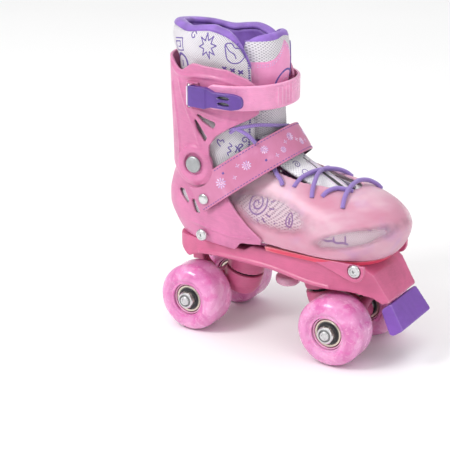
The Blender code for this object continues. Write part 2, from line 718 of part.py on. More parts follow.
pad(
    "tongue_lower",
    [(55, 123.5, 28, 8, 1.0, 3.0), (44, 129, 28, 13, 2.0, 4.0), (25, 138, 27, 16, 3.5, 4.5),
     (9, 147, 38, 17, 5, 4.5), (-1, 156.5, 58, 17, 6, 4.5), (-6, 168, 78, 17, 7, 4.5)],
    8, fabric_mat,
)
pad(
    "tongue_upper",
    [(-7, 187, 90, 17, 8, 4.5), (-3.5, 200, 90, 20, 10, 5.0), (-2, 216, 90, 21, 10, 5.0),
     (-4, 229, 90, 21, 10, 5.0), (-5, 236, 90, 20, 9, 5.0), (-7.5, 240.5, 80, 16, 6, 3.0)],
    8, fabric_mat, cuff_pivot,
)
bed = loft("insole", [(79.6, -81.5, 45, 86, 31.5, 3.0), (87.0, -84, 45, 88, 32.0, 3.0)], 0.0, 32,
           mat=lining_mat)
cut(bed, box("cut_insole_step", (2, -50, 70), (100, 50, 84.1), cutter=True))

# ---------------------------------------------------------------- straps and buckle
STRAP_ROOT = (-35.0, 128.0)
STRAP_RISE = (0.8, 0.6)  # direction in the side view, from the root to the crest
STRAP_DOWN = (0.6, -0.8)
STRAP_HALF_W = 12.0
STRAP_SPAN = 43.1
STRAP_CREST = 53.5
STRAP_TAIL = 26.0
STRAP_T = 2.2


def arch_point(spot, s, depth):
    """A point of the instep strap: spot is (Y, rise), s runs across its width."""
    y, v = spot
    out = Vector((y / STRAP_SPAN ** 2, max(v, 0) / STRAP_CREST ** 2)).normalized()
    y, v = y + out.x * depth, v + out.y * depth
    x = STRAP_ROOT[0] + STRAP_RISE[0] * v + STRAP_DOWN[0] * s
    z = STRAP_ROOT[1] + STRAP_RISE[1] * v + STRAP_DOWN[1] * s
    return (x, y, z)


arch = [(-STRAP_SPAN, -STRAP_TAIL)]
for k in range(21):
    a = math.pi * k / 20
    arch.append((-STRAP_SPAN * math.cos(a), STRAP_CREST * math.sin(a)))
arch.append((STRAP_SPAN, -STRAP_TAIL))
verts, faces = [], []
for spot in arch:
    for s, depth in ((-1, 0), (1, 0), (1, STRAP_T), (-1, STRAP_T)):
        verts.append(arch_point(spot, s * STRAP_HALF_W, depth))
for i in range(len(arch) - 1):
    for k in range(4):
        a, b = 4 * i + k, 4 * i + (k + 1) % 4
        faces.append((a, b, b + 4, a + 4))
faces += [(0, 1, 2, 3), tuple(4 * (len(arch) - 1) + k for k in range(4))]
strap = build("instep_strap", verts, faces, mat=strap_mat)
cut(strap, lathe("cut_strap_lobe", [(0, -60), (18.2, -60), (18.2, 60), (0, 60)], 24, P, (0, 1, 0),
                 cutter=True))
for side, hand in ((-1, "outer"), (1, "inner")):
    lathe(
        f"strap_rivet_{hand}",
        [(0, 45.7), (4.2, 45.7), (4.2, 46.6), (3.2, 47.3), (0, 47.3)], 12,
        (-47.4, 0, 114.3), (0, side, 0), mat=steel_mat,
    )


def leg_path(z, grow, start, end, steps):
    """Points of the leg's oval at height z, between two angles in degrees from the front."""
    _, rear, wide, front, half, power = level_at(LEG, z)
    points = []
    for i in range(steps + 1):
        a = math.radians(start + (end - start) * i / steps)
        ahead = math.cos(a) > 0
        n = 2.2 if ahead else power
        reach = (front - wide if ahead else wide - rear) + grow
        x = wide + reach * power_cos(a, n)
        points.append((x, (half + grow) * power_cos(a - math.pi / 2, n)))
    return points


band("cuff_strap", leg_path(190, 6.8, -88, 100, 28), 2.3, lambda i: 186.5, lambda i: 205.5,
     mat=shell_mat, pivot=cuff_pivot)
lathe("cuff_strap_rivet", [(0, 45.6), (5.0, 45.6), (5.0, 46.4), (3.8, 47.4), (0, 47.4)], 14,
      (-46, 0, 196), (0, 1, 0), mat=steel_mat, pivot=cuff_pivot)

PIN = (-58.5, -47.3)
lever_pivot = empty("buckle_lever_pivot", (PIN[0], PIN[1], 195.5), cuff_pivot)
BASE_PLAN = rounded(
    [(-67, -42.9, 0), (-50, -42.9, 0), (-50, -44.6, 0), (-55, -44.8, 0), (-55.6, -49.2, 1.4),
     (-61.4, -49.2, 2), (-63.5, -45.0, 1), (-67, -44.0, 0)],
    2,
)
base_block = prism("buckle_base", BASE_PLAN, 185.2, 205.8, "Z", mat=shell_mat, pivot=cuff_pivot)
cut(
    base_block,
    box("cut_base_mouth", (-62.2, -60, 187.3), (-40, -44.9, 203.7), cutter=True),
    lathe("cut_base_pin", [(0, -9.3), (1.7, -9.3), (1.7, 9.3), (0, 9.3)], 10,
          (PIN[0], PIN[1], 195.5), (0, 0, 1), cutter=True),
)
lathe("buckle_pin", [(0, -9.0), (1.4, -9.0), (1.4, 9.0), (0, 9.0)], 10,
      (PIN[0], PIN[1], 195.5), (0, 0, 1), mat=steel_mat, pivot=cuff_pivot)
LEVER_SIDE = rounded(
    [(-61.4, 187.7, 1), (-42, 187.7, 5), (-34, 189.6, 5), (-18, 189.6, 6), (-9.4, 191, 6),
     (-9.4, 200.5, 6), (-18, 201.8, 6), (-34, 201.6, 5), (-42, 203.3, 5), (-61.4, 203.3, 1)],
    2,
)
LEVER_PLAN = rounded(
    [(-60.8, -45.6, 1.6), (-54, -45.9, 0), (-8, -45.9, 0), (-8, -48.6, 2), (-22, -50.2, 8),
     (-44, -50.6, 8), (-56, -49.6, 3), (-60.8, -49.2, 1.8)],
    2,
)
lever = prism("buckle_lever", LEVER_SIDE, -60, -40, mat=purple_mat, pivot=lever_pivot)
keep(lever, prism("cut_lever_plan", LEVER_PLAN, 180, 210, "Z", cutter=True))
cut(lever, lathe("cut_lever_pin", [(0, -12), (1.7, -12), (1.7, 12), (0, 12)], 10,
                 (PIN[0], PIN[1], 195.5), (0, 0, 1), cutter=True))
for i, z in enumerate((193.6, 197.4)):
    slot = rounded([(-32, z - 1.1, 1), (-21, z - 1.1, 1), (-21, z + 1.1, 1), (-32, z + 1.1, 1)], 1)
    cut(lever, prism(f"cut_lever_slot_{i}", slot, -60, -48.4, cutter=True))

# ---------------------------------------------------------------- laces
tube(
    "lace_toe",
    [(58, -29, 126.8), (60, -20, 131.8), (64, -4, 135.7), (67, 8, 135.4), (69, 15, 132.8),
     (60, 10, 136.2), (48, -6, 138.8), (37, -20, 137.7), (34, -29.5, 131.8), (33, -21, 138.8),
     (37, 0, 144.2), (41, 16, 140.8), (43, 26, 133.8), (35, 16, 142.2), (26, 0, 148.2),
     (17, -20, 143.7), (15, -30, 134.4)],
    1.8, lace_mat, toe_slide,
)
tube(
    "lace_top",
    [(-25, -34, 178.2), (-15, -28, 176.2), (-6, -17, 175.5), (0, -5, 176)],
    1.6, lace_mat, None,
)
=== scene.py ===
"""Looks of the child's adjustable quad roller skate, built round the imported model.

Sizes are in millimetres in the skate's own frame: toe towards +X, outer side towards -Y, up +Z,
ground at Z = 0 and X = 0 midway between the axles. They become metres when a mesh is built.
"""
import json
import math

import bmesh
import bpy
import numpy as np
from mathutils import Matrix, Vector, noise
from mathutils.bvhtree import BVHTree

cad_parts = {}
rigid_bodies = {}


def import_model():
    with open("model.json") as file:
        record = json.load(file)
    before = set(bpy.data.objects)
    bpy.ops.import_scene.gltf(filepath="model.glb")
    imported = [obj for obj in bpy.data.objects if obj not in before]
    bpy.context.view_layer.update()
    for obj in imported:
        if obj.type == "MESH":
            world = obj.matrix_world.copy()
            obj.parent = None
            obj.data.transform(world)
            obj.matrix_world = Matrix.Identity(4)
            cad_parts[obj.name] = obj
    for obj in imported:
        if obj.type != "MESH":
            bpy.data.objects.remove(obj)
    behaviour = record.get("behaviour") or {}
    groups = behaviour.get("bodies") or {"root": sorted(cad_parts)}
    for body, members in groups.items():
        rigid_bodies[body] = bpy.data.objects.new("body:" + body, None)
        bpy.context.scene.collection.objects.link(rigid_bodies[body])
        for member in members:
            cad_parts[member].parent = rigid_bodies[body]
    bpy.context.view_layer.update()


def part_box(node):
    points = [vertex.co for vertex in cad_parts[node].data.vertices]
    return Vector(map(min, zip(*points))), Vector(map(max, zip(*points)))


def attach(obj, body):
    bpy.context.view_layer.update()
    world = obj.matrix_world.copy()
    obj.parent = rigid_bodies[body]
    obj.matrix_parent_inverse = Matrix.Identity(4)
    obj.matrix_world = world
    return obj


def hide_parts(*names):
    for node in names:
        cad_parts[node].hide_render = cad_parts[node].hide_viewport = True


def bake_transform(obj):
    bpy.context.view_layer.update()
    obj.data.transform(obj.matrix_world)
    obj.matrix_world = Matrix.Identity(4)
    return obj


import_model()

MM = 0.001
scene = bpy.context.scene

# The front axle places the skate's own frame, because it sits half a wheelbase ahead of X = 0.
HALF_BASE = 63
axle_low, axle_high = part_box("axle_front")
SHIFT_X = (axle_low.x + axle_high.x) * 500 - HALF_BASE
CHASSIS, TOE_BODY, CUFF_BODY = "chassis", "toe_carriage", "cuff"
BOTH = (-1, 1)  # the outer side, then the inner one
HANDS = ((-1, "outer"), (1, "inner"))
THROUGH = 60  # half the length of a tool that goes right through


def world(p):
    """A point of the skate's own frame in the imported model's frame, in metres."""
    return Vector(((p[0] + SHIFT_X) * MM, p[1] * MM, p[2] * MM))


# ---- camera and light
camera = bpy.data.objects.new("camera", bpy.data.cameras.new("camera"))
scene.collection.objects.link(camera)
camera.location = world((479, -848, 439))
camera.rotation_euler = (math.radians(70.17), 0, math.radians(32.28))
camera.data.lens = 104.9
camera.data.sensor_width = 36
scene.camera = camera
scene.view_settings.view_transform = "Standard"

sky = bpy.data.worlds.new("studio")
scene.world = sky
sky.use_nodes = True
sky.node_tree.nodes["Background"].inputs["Color"].default_value = (1, 1, 1, 1)
sky.node_tree.nodes["Background"].inputs["Strength"].default_value = 0.55


def soft_box(name, place, aim, size, power):
    """A large square studio light."""
    data = bpy.data.lights.new(name, "AREA")
    data.size = size
    data.energy = power
    lamp = bpy.data.objects.new(name, data)
    scene.collection.objects.link(lamp)
    lamp.location = place
    lamp.rotation_euler = (Vector(aim) - Vector(place)).to_track_quat("-Z", "Y").to_euler()


soft_box("key", (-0.55, -1, 1.1), (0, 0, 0.1), 0.5, 12)
soft_box("ceiling", (0, 0.6, 2.6), (0, 0.6, 0), 5, 60)
soft_box("front", (1.2, -0.5, 0.6), (0, 0, 0.1), 0.6, 2.5)

# ---- mesh helpers
cutters = bpy.data.collections.new("cutters")
scene.collection.children.link(cutters)
cutters.hide_render = True


def build(name, verts, faces, mat=None, corner_uv=None, cutter=False, mats=None, face_mats=None):
    """A mesh object from points in millimetres, its faces turned outwards."""
    mesh = bpy.data.meshes.new(name)
    mesh.from_pydata([world(v) for v in verts], [], faces)
    if corner_uv is not None:
        layer = mesh.uv_layers.new(name="mm")
        layer.data.foreach_set("uv", np.array(corner_uv, np.float32).ravel())
    obj = bpy.data.objects.new(name, mesh)
    for each in mats or ([mat] if mat else []):
        mesh.materials.append(each)
    if face_mats is not None:
        mesh.polygons.foreach_set("material_index", face_mats)
    work = bmesh.new()
    work.from_mesh(mesh)
    bmesh.ops.recalc_face_normals(work, faces=work.faces)
    work.to_mesh(mesh)
    work.free()
    (cutters if cutter else scene.collection).objects.link(obj)
    if cutter:
        obj.hide_render = True
    mesh.shade_smooth()
    return obj


def boolean(obj, others, operation):
    """Adds the modifiers that cut, keep or join. settle() applies them."""
    for other in others:
        mod = obj.modifiers.new("bool", "BOOLEAN")
        mod.operation, mod.solver, mod.object = operation, "EXACT", other
    return obj


def cut(obj, *others):
    return boolean(obj, others, "DIFFERENCE")


def keep(obj, *others):
    return boolean(obj, others, "INTERSECT")


def join(obj, *others):
    return boolean(obj, others, "UNION")


def settle(obj, voxel=0, relax=0, sharp=35):
    """Applies an object's modifiers. With a voxel size it is first remade with softened edges."""
    if voxel:
        mod = obj.modifiers.new("remesh", "REMESH")
        mod.mode, mod.voxel_size = "VOXEL", voxel * MM
        mod.use_smooth_shade = True
        if relax:
            mod = obj.modifiers.new("relax", "SMOOTH")
            mod.factor, mod.iterations = 0.5, relax
    bpy.context.view_layer.update()
    graph = bpy.context.evaluated_depsgraph_get()
    mesh = bpy.data.meshes.new_from_object(obj.evaluated_get(graph))
    obj.modifiers.clear()
    obj.data = mesh
    mesh.shade_smooth()
    if not voxel:
        mesh.set_sharp_from_angle(angle=math.radians(sharp))
    return obj


def rounded(corners, steps=6):
    """An outline whose corners (u, v, radius) are rounded."""
    points = []
    count = len(corners)
    for i, (u, v, radius) in enumerate(corners):
        if radius <= 0:
            points.append((u, v))
            continue
        here = Vector((u, v))
        back = Vector(corners[i - 1][:2]) - here
        ahead = Vector(corners[(i + 1) % count][:2]) - here
        half = back.angle(ahead) / 2
        run = min(radius / math.tan(half), 0.49 * back.length, 0.49 * ahead.length)
        start = here + back.normalized() * run
        end = here + ahead.normalized() * run
        for k in range(steps + 1):
            t = k / steps
            point = start.lerp(here, t).lerp(here.lerp(end, t), t)
            points.append((point.x, point.y))
    return points


def mirrored(half):
    """An outline in (X, Y, radius), from its half with Y below 0."""
    return rounded(half + [(x, -y, radius) for x, y, radius in reversed(half) if y])


def prism(name, outline, low, high, along="Y", **kind):
    """A flat outline pushed along an axis. The outline is (X, Z), (X, Y) or (Y, Z)."""
    order = {
        "Y": lambda p, h: (p[0], h, p[1]),
        "Z": lambda p, h: (p[0], p[1], h),
        "X": lambda p, h: (h, p[0], p[1]),
    }[along]
    n = len(outline)
    verts = [order(p, h) for h in (low, high) for p in outline]
    sides = [(i, (i + 1) % n, n + (i + 1) % n, n + i) for i in range(n)]
    return build(name, verts, sides + [tuple(range(n - 1, -1, -1)), tuple(range(n, 2 * n))], **kind)


def box(name, low, high, **kind):
    outline = [(low[0], low[2]), (high[0], low[2]), (high[0], high[2]), (low[0], high[2])]
    return prism(name, outline, low[1], high[1], **kind)


def lathe(name, profile, steps, pos=(0, 0, 0), axis=(0, 0, 1), **kind):
    """A profile of (radius, height) turned about an axis. A radius of 0 closes the end."""
    turn = Vector((0, 0, 1)).rotation_difference(Vector(axis)).to_matrix()
    origin = Vector(pos)
    verts, rows, faces = [], [], []
    for radius, height in profile:
        count = 1 if radius == 0 else steps
        rows.append([len(verts) + (k if radius else 0) for k in range(steps)])
        for k in range(count):
            a = 2 * math.pi * k / steps
            verts.append(origin + turn @ Vector((radius * math.cos(a), radius * math.sin(a), height)))
    for i in range(len(rows) - (0 if profile[0][0] > 0 else 1)):
        one, two = rows[i], rows[(i + 1) % len(rows)]
        for k in range(steps):
            j = (k + 1) % steps
            face = tuple(dict.fromkeys((one[k], one[j], two[j], two[k])))
            if len(face) > 2:
                faces.append(face)
    return build(name, [tuple(v) for v in verts], faces, **kind)


def tool(maker, *shape, **kind):
    """A helper solid that only shapes other pieces."""
    return maker("tool", *shape, cutter=True, **kind)


def rod(radius, low, high, steps, pos, axis):
    """A plain round tool."""
    return tool(lathe, [(0, low), (radius, low), (radius, high), (0, high)], steps, pos, axis)


def power_cos(angle, power):
    """The cosine that squares off an ellipse by a power."""
    value = math.cos(angle)
    return math.copysign(abs(value) ** (2 / power), value)


def at(levels, z):
    """The level outline at any height, smoothly between the given ones."""
    z = min(max(z, levels[0][0]), levels[-1][0])
    i = max(k for k in range(len(levels) - 1) if levels[k][0] <= z)
    one, two = levels[i], levels[i + 1]
    span = two[0] - one[0]
    t = (z - one[0]) / span
    before, after = levels[max(i - 1, 0)], levels[min(i + 2, len(levels) - 1)]
    out = [z]
    for b, p, q, a in zip(before[1:], one[1:], two[1:], after[1:]):
        step = q - p
        m = step if i == 0 else (q - b) / (two[0] - before[0]) * span
        n = step if i + 2 >= len(levels) else (a - p) / (after[0] - one[0]) * span
        if step == 0:
            m = n = 0
        else:  # a slope that can't overshoot
            m, n = (step * min(max(s / step, 0), 3) for s in (m, n))
        out.append(p * (2 * t**3 - 3 * t**2 + 1) + m * (t**3 - 2 * t**2 + t)
                   + q * (3 * t**2 - 2 * t**3) + n * (t**3 - t**2))
    return tuple(out)


def ring_point(level, grow, a):
    """A point of a level outline: (Z, rear X, widest X, front X, half width, rear power)."""
    z, rear, wide, front, half, power = level
    ahead = math.cos(a) > 0
    reach = (front - wide if ahead else wide - rear) + grow
    n = 2.2 if ahead else power
    return (wide + reach * power_cos(a, n), (half + grow) * power_cos(a - math.pi / 2, n), z)


def side_point(levels, grow, x, z, side=-1):
    """The point of a skin that lies at X and Z on one side."""
    _, rear, wide, front, half, power = at(levels, z)
    reach, n = ((front - wide), 2.2) if x > wide else ((wide - rear), power)
    t = min(abs(x - wide) / (reach + grow), 1)
    return Vector((x, side * (half + grow) * (1 - t**n) ** (1 / n), z))


def grid(name, rows, closed=False, caps=True, uv=None, **kind):
    """A skin through rows of points. closed joins each row's ends; caps fill the first and last."""
    count = len(rows[0])
    verts = [p for row in rows for p in row]
    faces, corners = [], []
    for i in range(len(rows) - 1):
        for k in range(count if closed else count - 1):
            j = (k + 1) % count
            faces.append((i * count + k, i * count + j, (i + 1) * count + j, (i + 1) * count + k))
            if uv:
                corners += [uv(i, k), uv(i, k + 1), uv(i + 1, k + 1), uv(i + 1, k)]
    if caps and closed:
        for i in (0, len(rows) - 1):
            faces.append(tuple(i * count + k for k in range(count)))
            if uv:
                corners += [uv(i, k) for k in range(count)]
    return build(name, verts, faces, corner_uv=corners if uv else None, **kind)


def loft(name, levels, grow=0, steps=96, rise=2.5, wall=0, open_ends=False, **kind):
    """Level outlines joined into one smooth skin, thickened inwards by wall."""
    count = max(2, int((levels[-1][0] - levels[0][0]) / rise) + 1)
    heights = [levels[0][0] + (levels[-1][0] - levels[0][0]) * i / (count - 1) for i in range(count)]
    rows = [[ring_point(at(levels, z), grow, 2 * math.pi * k / steps) for k in range(steps)]
            for z in heights]
    middle = rows[len(rows) // 2]
    around = lengths_along(middle + middle[:1])[-1]
    obj = grid(name, rows, closed=True, caps=not (open_ends and wall),
               uv=lambda i, k: (around * k / steps, heights[i]), **kind)
    if wall:
        mod = obj.modifiers.new("wall", "SOLIDIFY")
        mod.thickness, mod.offset, mod.use_even_offset = wall * MM, -1, True
    return obj


def lengths_along(points):
    """The length run at each point of a line."""
    return np.concatenate([[0], np.cumsum(np.linalg.norm(np.diff(np.array(points), axis=0), axis=1))])


def evenly(points, count):
    """Points set at even lengths along a flat line, and its whole length."""
    flat = np.array(points)
    run = lengths_along(flat)
    even = np.linspace(0, run[-1], count)
    return np.stack([np.interp(even, run, flat[:, i]) for i in (0, 1)], 1), run[-1]


def smooth_line(points, steps=8, closed=False):
    """Points of a curve through the given ones."""
    pts = [Vector(p) for p in points]
    count = len(pts)
    out = []
    for i in range(count if closed else count - 1):
        p0, p1, p2, p3 = (
            (pts[(i + k) % count] if closed else pts[min(max(i + k, 0), count - 1)])
            for k in (-1, 0, 1, 2)
        )
        for s in range(steps):
            t = s / steps
            out.append(0.5 * (2 * p1 + (p2 - p0) * t + (2 * p0 - 5 * p1 + 4 * p2 - p3) * t * t
                              + (3 * p1 - p0 - 3 * p2 + p3) * t**3))
    return out if closed else out + [pts[-1]]


def sweep(name, path, section, ups=None, **kind):
    """A closed section of (across, out) carried along a path. ups are the outward directions."""
    last = len(path) - 1
    rows, along = [], [0]
    up = Vector((0, 0, 1))
    for i, p in enumerate(path):
        run = (path[min(i + 1, last)] - path[max(i - 1, 0)]).normalized()
        if ups:
            up = Vector(ups[i])
        up = (up - run * up.dot(run)).normalized()
        side = run.cross(up)
        if i:
            along.append(along[-1] + (p - path[i - 1]).length)
        shape = section(i / last) if callable(section) else section
        rows.append([tuple(p + side * a + up * b) for a, b in shape])
    girth = lengths_along(rows[0] + rows[0][:1])
    return grid(name, rows, closed=True, uv=lambda i, k: (girth[k], along[i]), **kind)


def circle(radius, steps, squash=1):
    angles = [2 * math.pi * k / steps for k in range(steps)]
    return [(radius * math.cos(a), squash * radius * math.sin(a)) for a in angles]


def merge(name, parts):
    """Several separate bodies kept as one piece."""
    work = bmesh.new()
    mats = []
    for part in parts:
        for mat in part.data.materials:
            if mat not in mats:
                mats.append(mat)
    for part in parts:
        order = [mats.index(m) for m in part.data.materials] or [0]
        before = len(work.faces)
        work.from_mesh(part.data)
        work.faces.ensure_lookup_table()
        for face in work.faces[before:]:
            face.material_index = order[min(face.material_index, len(order) - 1)]
    mesh = bpy.data.meshes.new(name)
    work.to_mesh(mesh)
    work.free()
    for mat in mats:
        mesh.materials.append(mat)
    for part in parts:
        bpy.data.objects.remove(part, do_unlink=True)
    obj = bpy.data.objects.new(name, mesh)
    scene.collection.objects.link(obj)
    return obj


# ---- material helpers
def surface(name, color, rough, metal=0, **more):
    """A material whose Principled sockets are set directly. An underscore stands for a space."""
    mat = bpy.data.materials.new("finish_" + name)
    mat.use_nodes = True
    sockets = mat.node_tree.nodes["Principled BSDF"].inputs
    sockets["Base Color"].default_value = (*color, 1)
    sockets["Roughness"].default_value = rough
    sockets["Metallic"].default_value = metal
    for key, value in more.items():
        sockets[key.replace("_", " ")].default_value = value
    mat.diffuse_color = (*color, 1)
    return mat


def add(mat, kind, inputs=None, **settings):
    """A new node. An input that is a socket is linked, and any other is set."""
    node = mat.node_tree.nodes.new("ShaderNode" + kind)
    for key, value in settings.items():
        setattr(node, key, value)
    for key, value in (inputs or {}).items():
        if isinstance(value, bpy.types.NodeSocket):
            mat.node_tree.links.new(value, node.inputs[key])
        else:
            node.inputs[key].default_value = value
    return node


def feed(mat, key, socket):
    mat.node_tree.links.new(socket, mat.node_tree.nodes["Principled BSDF"].inputs[key])


def tint(mat, key, value, stops):
    """A shader socket that follows a ramp."""
    feed(mat, key, ramp(mat, value, stops))


def spot(mat, stretch=(1, 1, 1), turn=(0, 0, 0), move=(0, 0, 0)):
    """Object coordinates in millimetres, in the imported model's frame."""
    coords = add(mat, "TexCoord").outputs["Object"]
    scale = [1000 * s for s in stretch]
    return add(mat, "Mapping", {"Vector": coords, "Scale": scale, "Rotation": turn,
                                "Location": move}).outputs["Vector"]


def cloth_spot(mat, scale=1, turn=0):
    """Millimetres along the cloth itself."""
    coords = add(mat, "UVMap", uv_map="mm").outputs["UV"]
    return add(mat, "Mapping", {"Vector": coords, "Scale": (scale, scale, 1),
                                "Rotation": (0, 0, turn)}).outputs["Vector"]


def clouds(mat, scale, detail=3, rough=0.5, distort=0, where=None):
    """Noise over the object in millimetres, or over another place."""
    return add(mat, "TexNoise", {"Vector": where or spot(mat), "Scale": scale, "Detail": detail,
                                 "Roughness": rough, "Distortion": distort}).outputs["Fac"]


def ramp(mat, value, stops, ease="LINEAR"):
    node = add(mat, "ValToRGB", {"Fac": value})
    node.color_ramp.interpolation = ease
    points = node.color_ramp.elements
    for i, (place, color) in enumerate(stops):
        point = points[i] if i < 2 else points.new(place)
        point.position = place
        point.color = (*color, 1) if hasattr(color, "__len__") else (color, color, color, 1)
    return node.outputs["Color"]


def mix(mat, amount, one, two):
    """Two colours mixed by an amount from 0 to 1."""
    node = add(mat, "Mix", data_type="RGBA")
    links = mat.node_tree.links
    for socket, value in ((node.inputs[0], amount), (node.inputs[6], one), (node.inputs[7], two)):
        if isinstance(value, bpy.types.NodeSocket):
            links.new(value, socket)
        elif hasattr(value, "__len__"):
            socket.default_value = (*value, 1)
        else:
            socket.default_value = value
    return node.outputs[2]


def maths(mat, op, *values):
    node = add(mat, "Math", operation=op)
    for socket, value in zip(node.inputs, values):
        if isinstance(value, bpy.types.NodeSocket):
            mat.node_tree.links.new(value, socket)
        else:
            socket.default_value = value
    return node.outputs[0]


def relief(mat, *heights):
    """Bumps, each (height socket, depth in millimetres)."""
    normal = None
    for height, depth in heights:
        inputs = {"Height": height, "Distance": depth * MM, "Strength": 1}
        if normal:
            inputs["Normal"] = normal
        normal = add(mat, "Bump", inputs).outputs["Normal"]
    feed(mat, "Normal", normal)


def shade(color, factor):
    return tuple(min(1, c * factor) for c in color)


def plastic(name, color, rough=0.34, flow=0.5, pale_edges=True, grain=0.02, **more):
    """Moulded plastic: faint flow lines, tone changes, edges painted paler where the mesh is convex, and a
    fine skin.
    """
    more.setdefault("Subsurface_Weight", 0.12)
    more.setdefault("Subsurface_Radius", (0.004, 0.0016, 0.002))
    mat = surface(name, color, rough, **more)
    broad = clouds(mat, 0.03, 3, 0.6, 1.5)
    tone = ramp(mat, broad, [(0.3, shade(color, 0.86)), (0.7, shade(color, 1.1))])
    lines = clouds(mat, 1, 4, 0.6, 3, where=spot(mat, (0.05, 0.05, 0.35), (0.3, 0.5, 0.2)))
    tone = mix(mat, ramp(mat, lines, [(0.45, 0), (0.62, 0.5 * flow)]), tone, shade(color, 1.28))
    # Convex edges are painted paler.
    if pale_edges:
        edge = add(mat, "NewGeometry").outputs["Pointiness"]
        tone = mix(mat, ramp(mat, edge, [(0.52, 0), (0.6, 0.45)]), tone,
                   tuple(0.45 + 0.55 * c for c in color))
    feed(mat, "Base Color", tone)
    fine = clouds(mat, 0.9, 2)
    tint(mat, "Roughness", clouds(mat, 0.12, 4), [(0.3, rough - 0.06), (0.75, rough + 0.1)])
    relief(mat, (fine, grain), (lines, 0.12 * flow))
    return mat


def metal(name, color, rough):
    """Plated steel with fine turning marks and dull patches."""
    mat = surface(name, color, rough, 1)
    dull = clouds(mat, 0.16, 2)
    tint(mat, "Base Color", dull, [(0.3, shade(color, 0.88)), (0.7, shade(color, 1.08))])
    tint(mat, "Roughness", clouds(mat, 2.5, 3), [(0.3, rough * 0.7), (0.75, rough * 1.5)])
    relief(mat, (clouds(mat, 1, 2, where=spot(mat, (4, 1, 4))), 0.01))
    return mat


def air_mesh(name, color, hole_shade, pitch=1.35):
    """Knitted air mesh: rows of small holes, painted dark as shade in them, over a fine thread."""
    mat = surface(name, color, 0.85, Sheen_Weight=0.25, Sheen_Roughness=0.5)
    dots = add(mat, "TexVoronoi", {"Vector": cloth_spot(mat, 1 / pitch, math.radians(45)), "Scale": 1,
                                   "Randomness": 0}, voronoi_dimensions="2D").outputs["Distance"]
    holes = ramp(mat, dots, [(0.2, 1), (0.36, 0)])
    soil = clouds(mat, 0.05, 4)
    body = ramp(mat, soil, [(0.3, shade(color, 0.9)), (0.7, shade(color, 1.05))])
    feed(mat, "Base Color", mix(mat, holes, body, hole_shade))
    thread = clouds(mat, 3, 2, where=cloth_spot(mat))
    relief(mat, (holes, -0.25), (thread, 0.05))
    return mat


def satin(name, color, rough=0.5):
    """Brushed lining: soft sheen, fine knit, and painted shade in the creases with painted light on the
    fold tops.
    """
    mat = surface(name, color, rough, Sheen_Weight=0.6, Sheen_Roughness=0.35,
                  Sheen_Tint=(0.8, 0.7, 1, 1))
    folds_and_painted_shade = clouds(mat, 0.07, 4, 0.6, 0.5)
    # Painted shade in the creases and painted light on the fold tops.
    tint(mat, "Base Color", folds_and_painted_shade, [(0.3, shade(color, 0.75)), (0.7, shade(color, 1.25))])
    knit = add(mat, "TexWave", {"Vector": cloth_spot(mat), "Scale": 0.55, "Distortion": 0.6,
                                "Detail": 1}, bands_direction="DIAGONAL").outputs["Fac"]
    relief(mat, (knit, 0.05), (folds_and_painted_shade, 0.6))
    return mat


SHELL = (0.585, 0.175, 0.345)
DEEP = (0.58, 0.12, 0.255)
shell_mat = plastic("shell", SHELL)
deep_mat = plastic("plate", DEEP, flow=0.35)
strap_mat = plastic("cuff_strap", (0.80, 0.31, 0.53), 0.3)
# The toe sole is painted a deeper, redder pink than the shell: painted shade for the slot it sits in under
# the cap.
shaded_sole_mat = plastic("toe_sole", (0.72, 0.05, 0.12), 0.35, 0.2)
purple_mat = plastic("lever", (0.105, 0.04, 0.27), 0.36, 0.25)
pale_mat = plastic("buckle_edge", (0.70, 0.62, 0.72), 0.3, 0.1, pale_edges=False)
core_mat = plastic("wheel_core", (0.80, 0.34, 0.56), 0.3, 0.3)
knob_mat = plastic("adjuster", (0.80, 0.42, 0.58), 0.25, 0.3)
stop_mat = plastic("toe_stop", (0.19, 0.07, 0.40), 0.55, 0.2, grain=0.08, Subsurface_Weight=0)
rubber_mat = plastic("cushion", (0.05, 0.045, 0.055), 0.65, 0.1, Subsurface_Weight=0)
steel_mat = metal("steel", (0.62, 0.62, 0.63), 0.28)
rivet_mat = metal("rivet", (0.42, 0.43, 0.44), 0.42)
brass_mat = metal("bearing_rim", (0.66, 0.60, 0.50), 0.3)
seal_mat = plastic("bearing_shield", (0.025, 0.024, 0.028), 0.4, 0.1, Subsurface_Weight=0)
# Each air mesh's last colour is painted shade in its holes.
mesh_mat = air_mesh("air_mesh", (0.74, 0.71, 0.75), (0.36, 0.33, 0.38))
fore_mat = air_mesh("fore_mesh", (0.90, 0.88, 0.91), (0.66, 0.63, 0.70), 1.7)
sock_mat = air_mesh("toe_mesh", (0.78, 0.74, 0.77), (0.24, 0.21, 0.28), 1.6)
lining_mat = satin("lining", (0.24, 0.12, 0.47))
footbed_mat = satin("footbed", (0.46, 0.11, 0.27))


def mottled(name, rough, scale, detail, dark, light, bump=None, stops=(0.3, 0.7)):
    """A small cloudy change of tone, for prints, webbing and the floor. bump is (scale, detail, depth)."""
    mat = surface(name, light, rough)
    tint(mat, "Base Color", clouds(mat, scale, detail), list(zip(stops, (dark, light))))
    if bump:
        relief(mat, (clouds(mat, *bump[:2]), bump[2]))
    return mat


ink_mat = mottled("print", 0.6, 0.8, 3, (0.09, 0.05, 0.25), (0.18, 0.11, 0.40), (2, 2, 0.03))
silver_print = mottled("silver_print", 0.35, 0.5, 3, (0.46, 0.32, 0.64), (0.86, 0.70, 0.90),
                       stops=(0.35, 0.65))
backing_mat = mottled("strap_backing", 0.6, 1.5, 3, (0.07, 0.04, 0.07), (0.15, 0.09, 0.14), (1.5, 3, 0.08))

